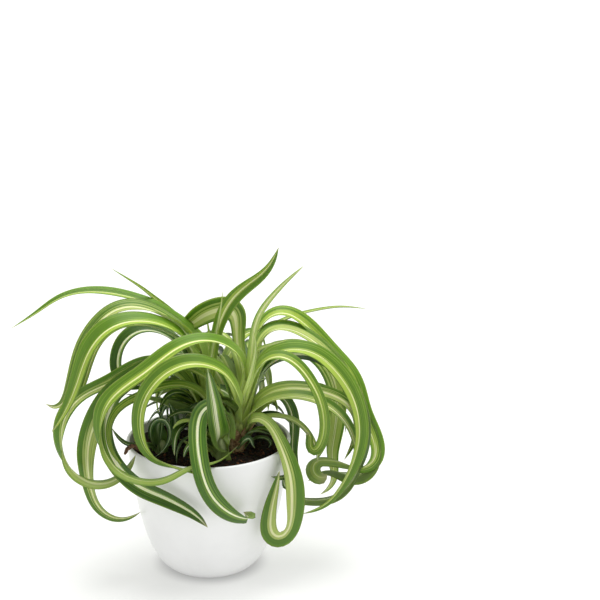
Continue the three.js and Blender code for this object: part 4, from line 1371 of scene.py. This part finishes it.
# %% Build the shoots
FIBRES_AROUND, FIBRES_UP = 22.0, 3.0
sheath, tree, shader = new_material("sheath", Roughness=0.5)
around = calc(tree, "MULTIPLY", attribute(tree, "around"), FIBRES_AROUND)
upwards = calc(tree, "MULTIPLY", attribute(tree, "up"), FIBRES_UP)
place = add_node(tree, "CombineXYZ", {0: around, 1: upwards}).outputs[0]
noise_inputs = {"Vector": place, "Scale": 1.0, "Detail": 3.0}
fibre = add_node(tree, "TexNoise", noise_inputs).outputs["Fac"]
skin_colour = blend_colours(tree, fibre, colour(214, 218, 168), colour(138, 168, 84))
earthy = calc(tree, "MULTIPLY", step_down(tree, attribute(tree, "up"), 0.04, 0.3), 0.85)
skin_colour = blend_colours(tree, earthy, skin_colour, colour(150, 108, 66))
tree.links.new(skin_colour, shader.inputs["Base Color"])
relief(tree, shader, fibre, 0.5, 0.0006)
for number, (name, crown) in enumerate(crowns.items()):
    rings, angle, up = shoot_rings(crown, number)
    points, faces, places = skin(rings, rings[0].mean(axis=0), rings[-1].mean(axis=0))
    around = np.append(np.tile(np.abs(angle / np.pi - 1), SHOOT_RINGS), (0, 0))
    values = {"around": around, "up": np.append(np.repeat(up, SHOOT_SIDES), (0, 1))}
    make_piece(name + "_sheath", points, faces, sheath, [name], places, values)
print(len(crowns), "shoots built")

# %% [markdown]
# ## Dry scales
# The oldest leaves dry off and leave papery brown scales round the foot of the main shoot. They
# are short leaves that stand almost upright, evenly spaced round it with a little chance, so the
# helper that grows a leaf makes them too, with a dry skin in place of the green one.

# %% Dry scales at the foot of the main shoot
SCALES = 7
SCALE_WIDTH = 9 / PLAIN_SHARE
SCALE_UP = 0.06  # share of the shoot's height at which they stand
SCALE_RANGES = ((-15, 15), (13, 24), (76, 92), (15, 60), (-20, 20))
SCALE_SEED = 700


def mottled(name, roughness, scale, dark, light, strength, depth):
    """A material in patches of two colours, the light ones raised a little."""
    material, tree, shader = new_material(name, Roughness=roughness)
    patch = patches(tree, scale, dark, light)
    tree.links.new(patch["Color"], shader.inputs["Base Color"])
    relief(tree, shader, patch["Share"], strength, depth)
    return material


papery = mottled("papery", 0.8, 300.0, (120, 82, 48), (206, 178, 130), 0.4, 0.0004)
main_shoot = crowns["crown_main"]
generator = np.random.default_rng(12)
scale_lines = []
for k in range(SCALES):
    swing, length, rise, droop, turn = (generator.uniform(*ends) for ends in SCALE_RANGES)
    bearing = 360 * k / SCALES + swing
    line = grown(main_shoot, SCALE_UP, bearing, length, rise, droop, turn, 0, SCALE_WIDTH)
    scale_lines.append(line)
points, faces, places, values = join_blades(scale_lines, SCALE_SEED)
make_piece("dry_scales", points, faces, papery, (), places, values)
print(SCALES, "dry scales")

# %% [markdown]
# ## Withered stub
# An old runner has dried off and hangs over the rim at the left. It is a brown, twisted stalk, a
# few millimetres thick. The frame has its line and its radius, and the finished stalk follows
# them with wrinkles that wind round it: its radius is multiplied by 1 plus two sines whose angle
# turns on the way along.

# %% Build the withered stub
STUB_SIDES = 24
STUB_POINTS = 60
STUB_WINDING = 1.32  # radians from one ring of the frame to the next
STUB_POINT = 0.4 * MM
stub_rings, stub_tip = read_rings("dry_stub", STUB_CORNERS)
stub_line = np.concatenate([stub_rings.mean(axis=1), [stub_tip]])
stub_radius = np.linalg.norm(stub_rings - stub_rings.mean(axis=1)[:, None], axis=-1).mean(axis=1)
stub_radius = np.append(stub_radius, 0.6 * stub_radius[-1])
stub_at = np.linspace(0, len(stub_line) - 1, STUB_POINTS)
stub_path = smooth(stub_line, stub_at)
stub_radius = np.interp(stub_at, np.arange(len(stub_line)), stub_radius)
stub_ahead = unit(np.gradient(stub_path, axis=0))
stub_side = unit(np.cross(stub_ahead, [0, 0, 1]))
stub_up = np.cross(stub_side, stub_ahead)
angle = np.arange(STUB_SIDES) * 2 * np.pi / STUB_SIDES
wind = angle + STUB_WINDING * stub_at[:, None]
wrinkle = 1 + 0.16 * np.sin(3 * wind) + 0.07 * np.sin(7 * wind + 2)
reach = (stub_radius[:, None] * wrinkle)[..., None]
circle = stub_side[:, None] * np.cos(angle)[:, None] + stub_up[:, None] * np.sin(angle)[:, None]
rings = stub_path[:, None] + reach * circle
points, faces, places = skin(rings, stub_path[0], stub_path[-1] + STUB_POINT * stub_ahead[-1])
withered = mottled("withered", 0.85, 500.0, (52, 34, 22), (140, 104, 74), 0.6, 0.0005)
make_piece("dry_stub_wrinkled", points, faces, withered, ["dry_stub"], places)
print("stub built")

# %% [markdown]
# ## Floor
# The plant stands on plain white paper in the soft light of a white room, and all of it burns out
# to white. The paper glows a little for the same end, which would also wash out the shadow that
# every pot has round its foot. So a soft ring of shade is put back there: the distance from a
# point just behind the pot's middle steps both the floor's colour and its glow down.

# %% Lay the floor
FLOOR_REACH = 14
FOOT_SHADE = (32 * MM, 52 * MM)  # how far out the shade round the foot starts to fade, and ends
FOOT_SHADE_BACK = 4 * MM
SHADED_PAPER = (0.36, 0.365, 0.36, 1)
GLOW, SHADED_GLOW = (1, 1, 0.985, 1), (0.65, 0.65, 0.64, 1)
corners = np.array([(-1, -1, 0), (1, -1, 0), (1, 1, 0), (-1, 1, 0)]) * FLOOR_REACH
floor_mesh = bpy.data.meshes.new("floor")
floor_mesh.from_pydata(corners.tolist(), [], [(0, 1, 2, 3)])
floor_material, tree, shader = new_material("floor", Roughness=0.9, Specular_IOR_Level=0.1,
                                            Emission_Strength=0.39)
paper = use_group(tree, mottle, {"Scale": 3.0, "Dark": (0.54, 0.55, 0.53, 1),
                                 "Light": (0.56, 0.565, 0.555, 1)})
place = add_node(tree, "TexCoord").outputs["Object"]
moved = add_node(tree, "VectorMath", {0: place, 1: (0, -FOOT_SHADE_BACK, 0)}, operation="ADD")
distance = add_node(tree, "VectorMath", {0: moved.outputs[0]}, operation="LENGTH").outputs["Value"]
shaded = step_down(tree, distance, *FOOT_SHADE)
floor_colour = blend_colours(tree, shaded, paper["Color"], SHADED_PAPER)
floor_glow = blend_colours(tree, shaded, GLOW, SHADED_GLOW)
tree.links.new(floor_colour, shader.inputs["Base Color"])
tree.links.new(floor_glow, shader.inputs["Emission Color"])
floor_mesh.materials.append(floor_material)
floor = bpy.data.objects.new("floor", floor_mesh)
bpy.context.scene.collection.objects.link(floor)
floor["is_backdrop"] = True
print("floor is", 2 * FLOOR_REACH, "m wide")

# %% [markdown]
# ## Light
# A bright sky gives an even light from all around. One broad sun, as wide as a softbox, stands
# high and a little behind the plant. It puts a sheen on the tops of the arches and shades what
# lies under them.

# %% Set the light
SKY = 0.62
world = bpy.data.worlds.new("studio")
world.use_nodes = True
background = next(n for n in world.node_tree.nodes if n.type == "BACKGROUND")
background.inputs["Color"].default_value = (1, 1, 1, 1)
background.inputs["Strength"].default_value = SKY
bpy.context.scene.world = world


def sun(name, strength, spread, azimuth, elevation):
    """A sun of that strength and width in degrees, from a bearing and a height above level."""
    light = bpy.data.lights.new(name, "SUN")
    light.energy = strength
    light.angle = math.radians(spread)
    lamp = bpy.data.objects.new(name, light)
    lamp.rotation_euler = (math.radians(90 - elevation), 0, math.radians(azimuth))
    bpy.context.scene.collection.objects.link(lamp)


sun("key", strength=2.9, spread=50, azimuth=145, elevation=80)
bpy.context.scene.view_settings.view_transform = "Standard"
print("sky", SKY)

# %% [markdown]
# ## Last check
# A model that grew or shrank while it was dressed wouldn't fit where its frame does. So the size
# is measured once more, and how far it goes past the frame's box is printed.

# %% Measure the size once more and finish
low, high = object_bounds()
past_low = (np.array(frame_low) - low) / MM
past_high = (np.array(high) - frame_high) / MM
print("past the frame's box by", past_low.round(2), "and", past_high.round(2), "mm")
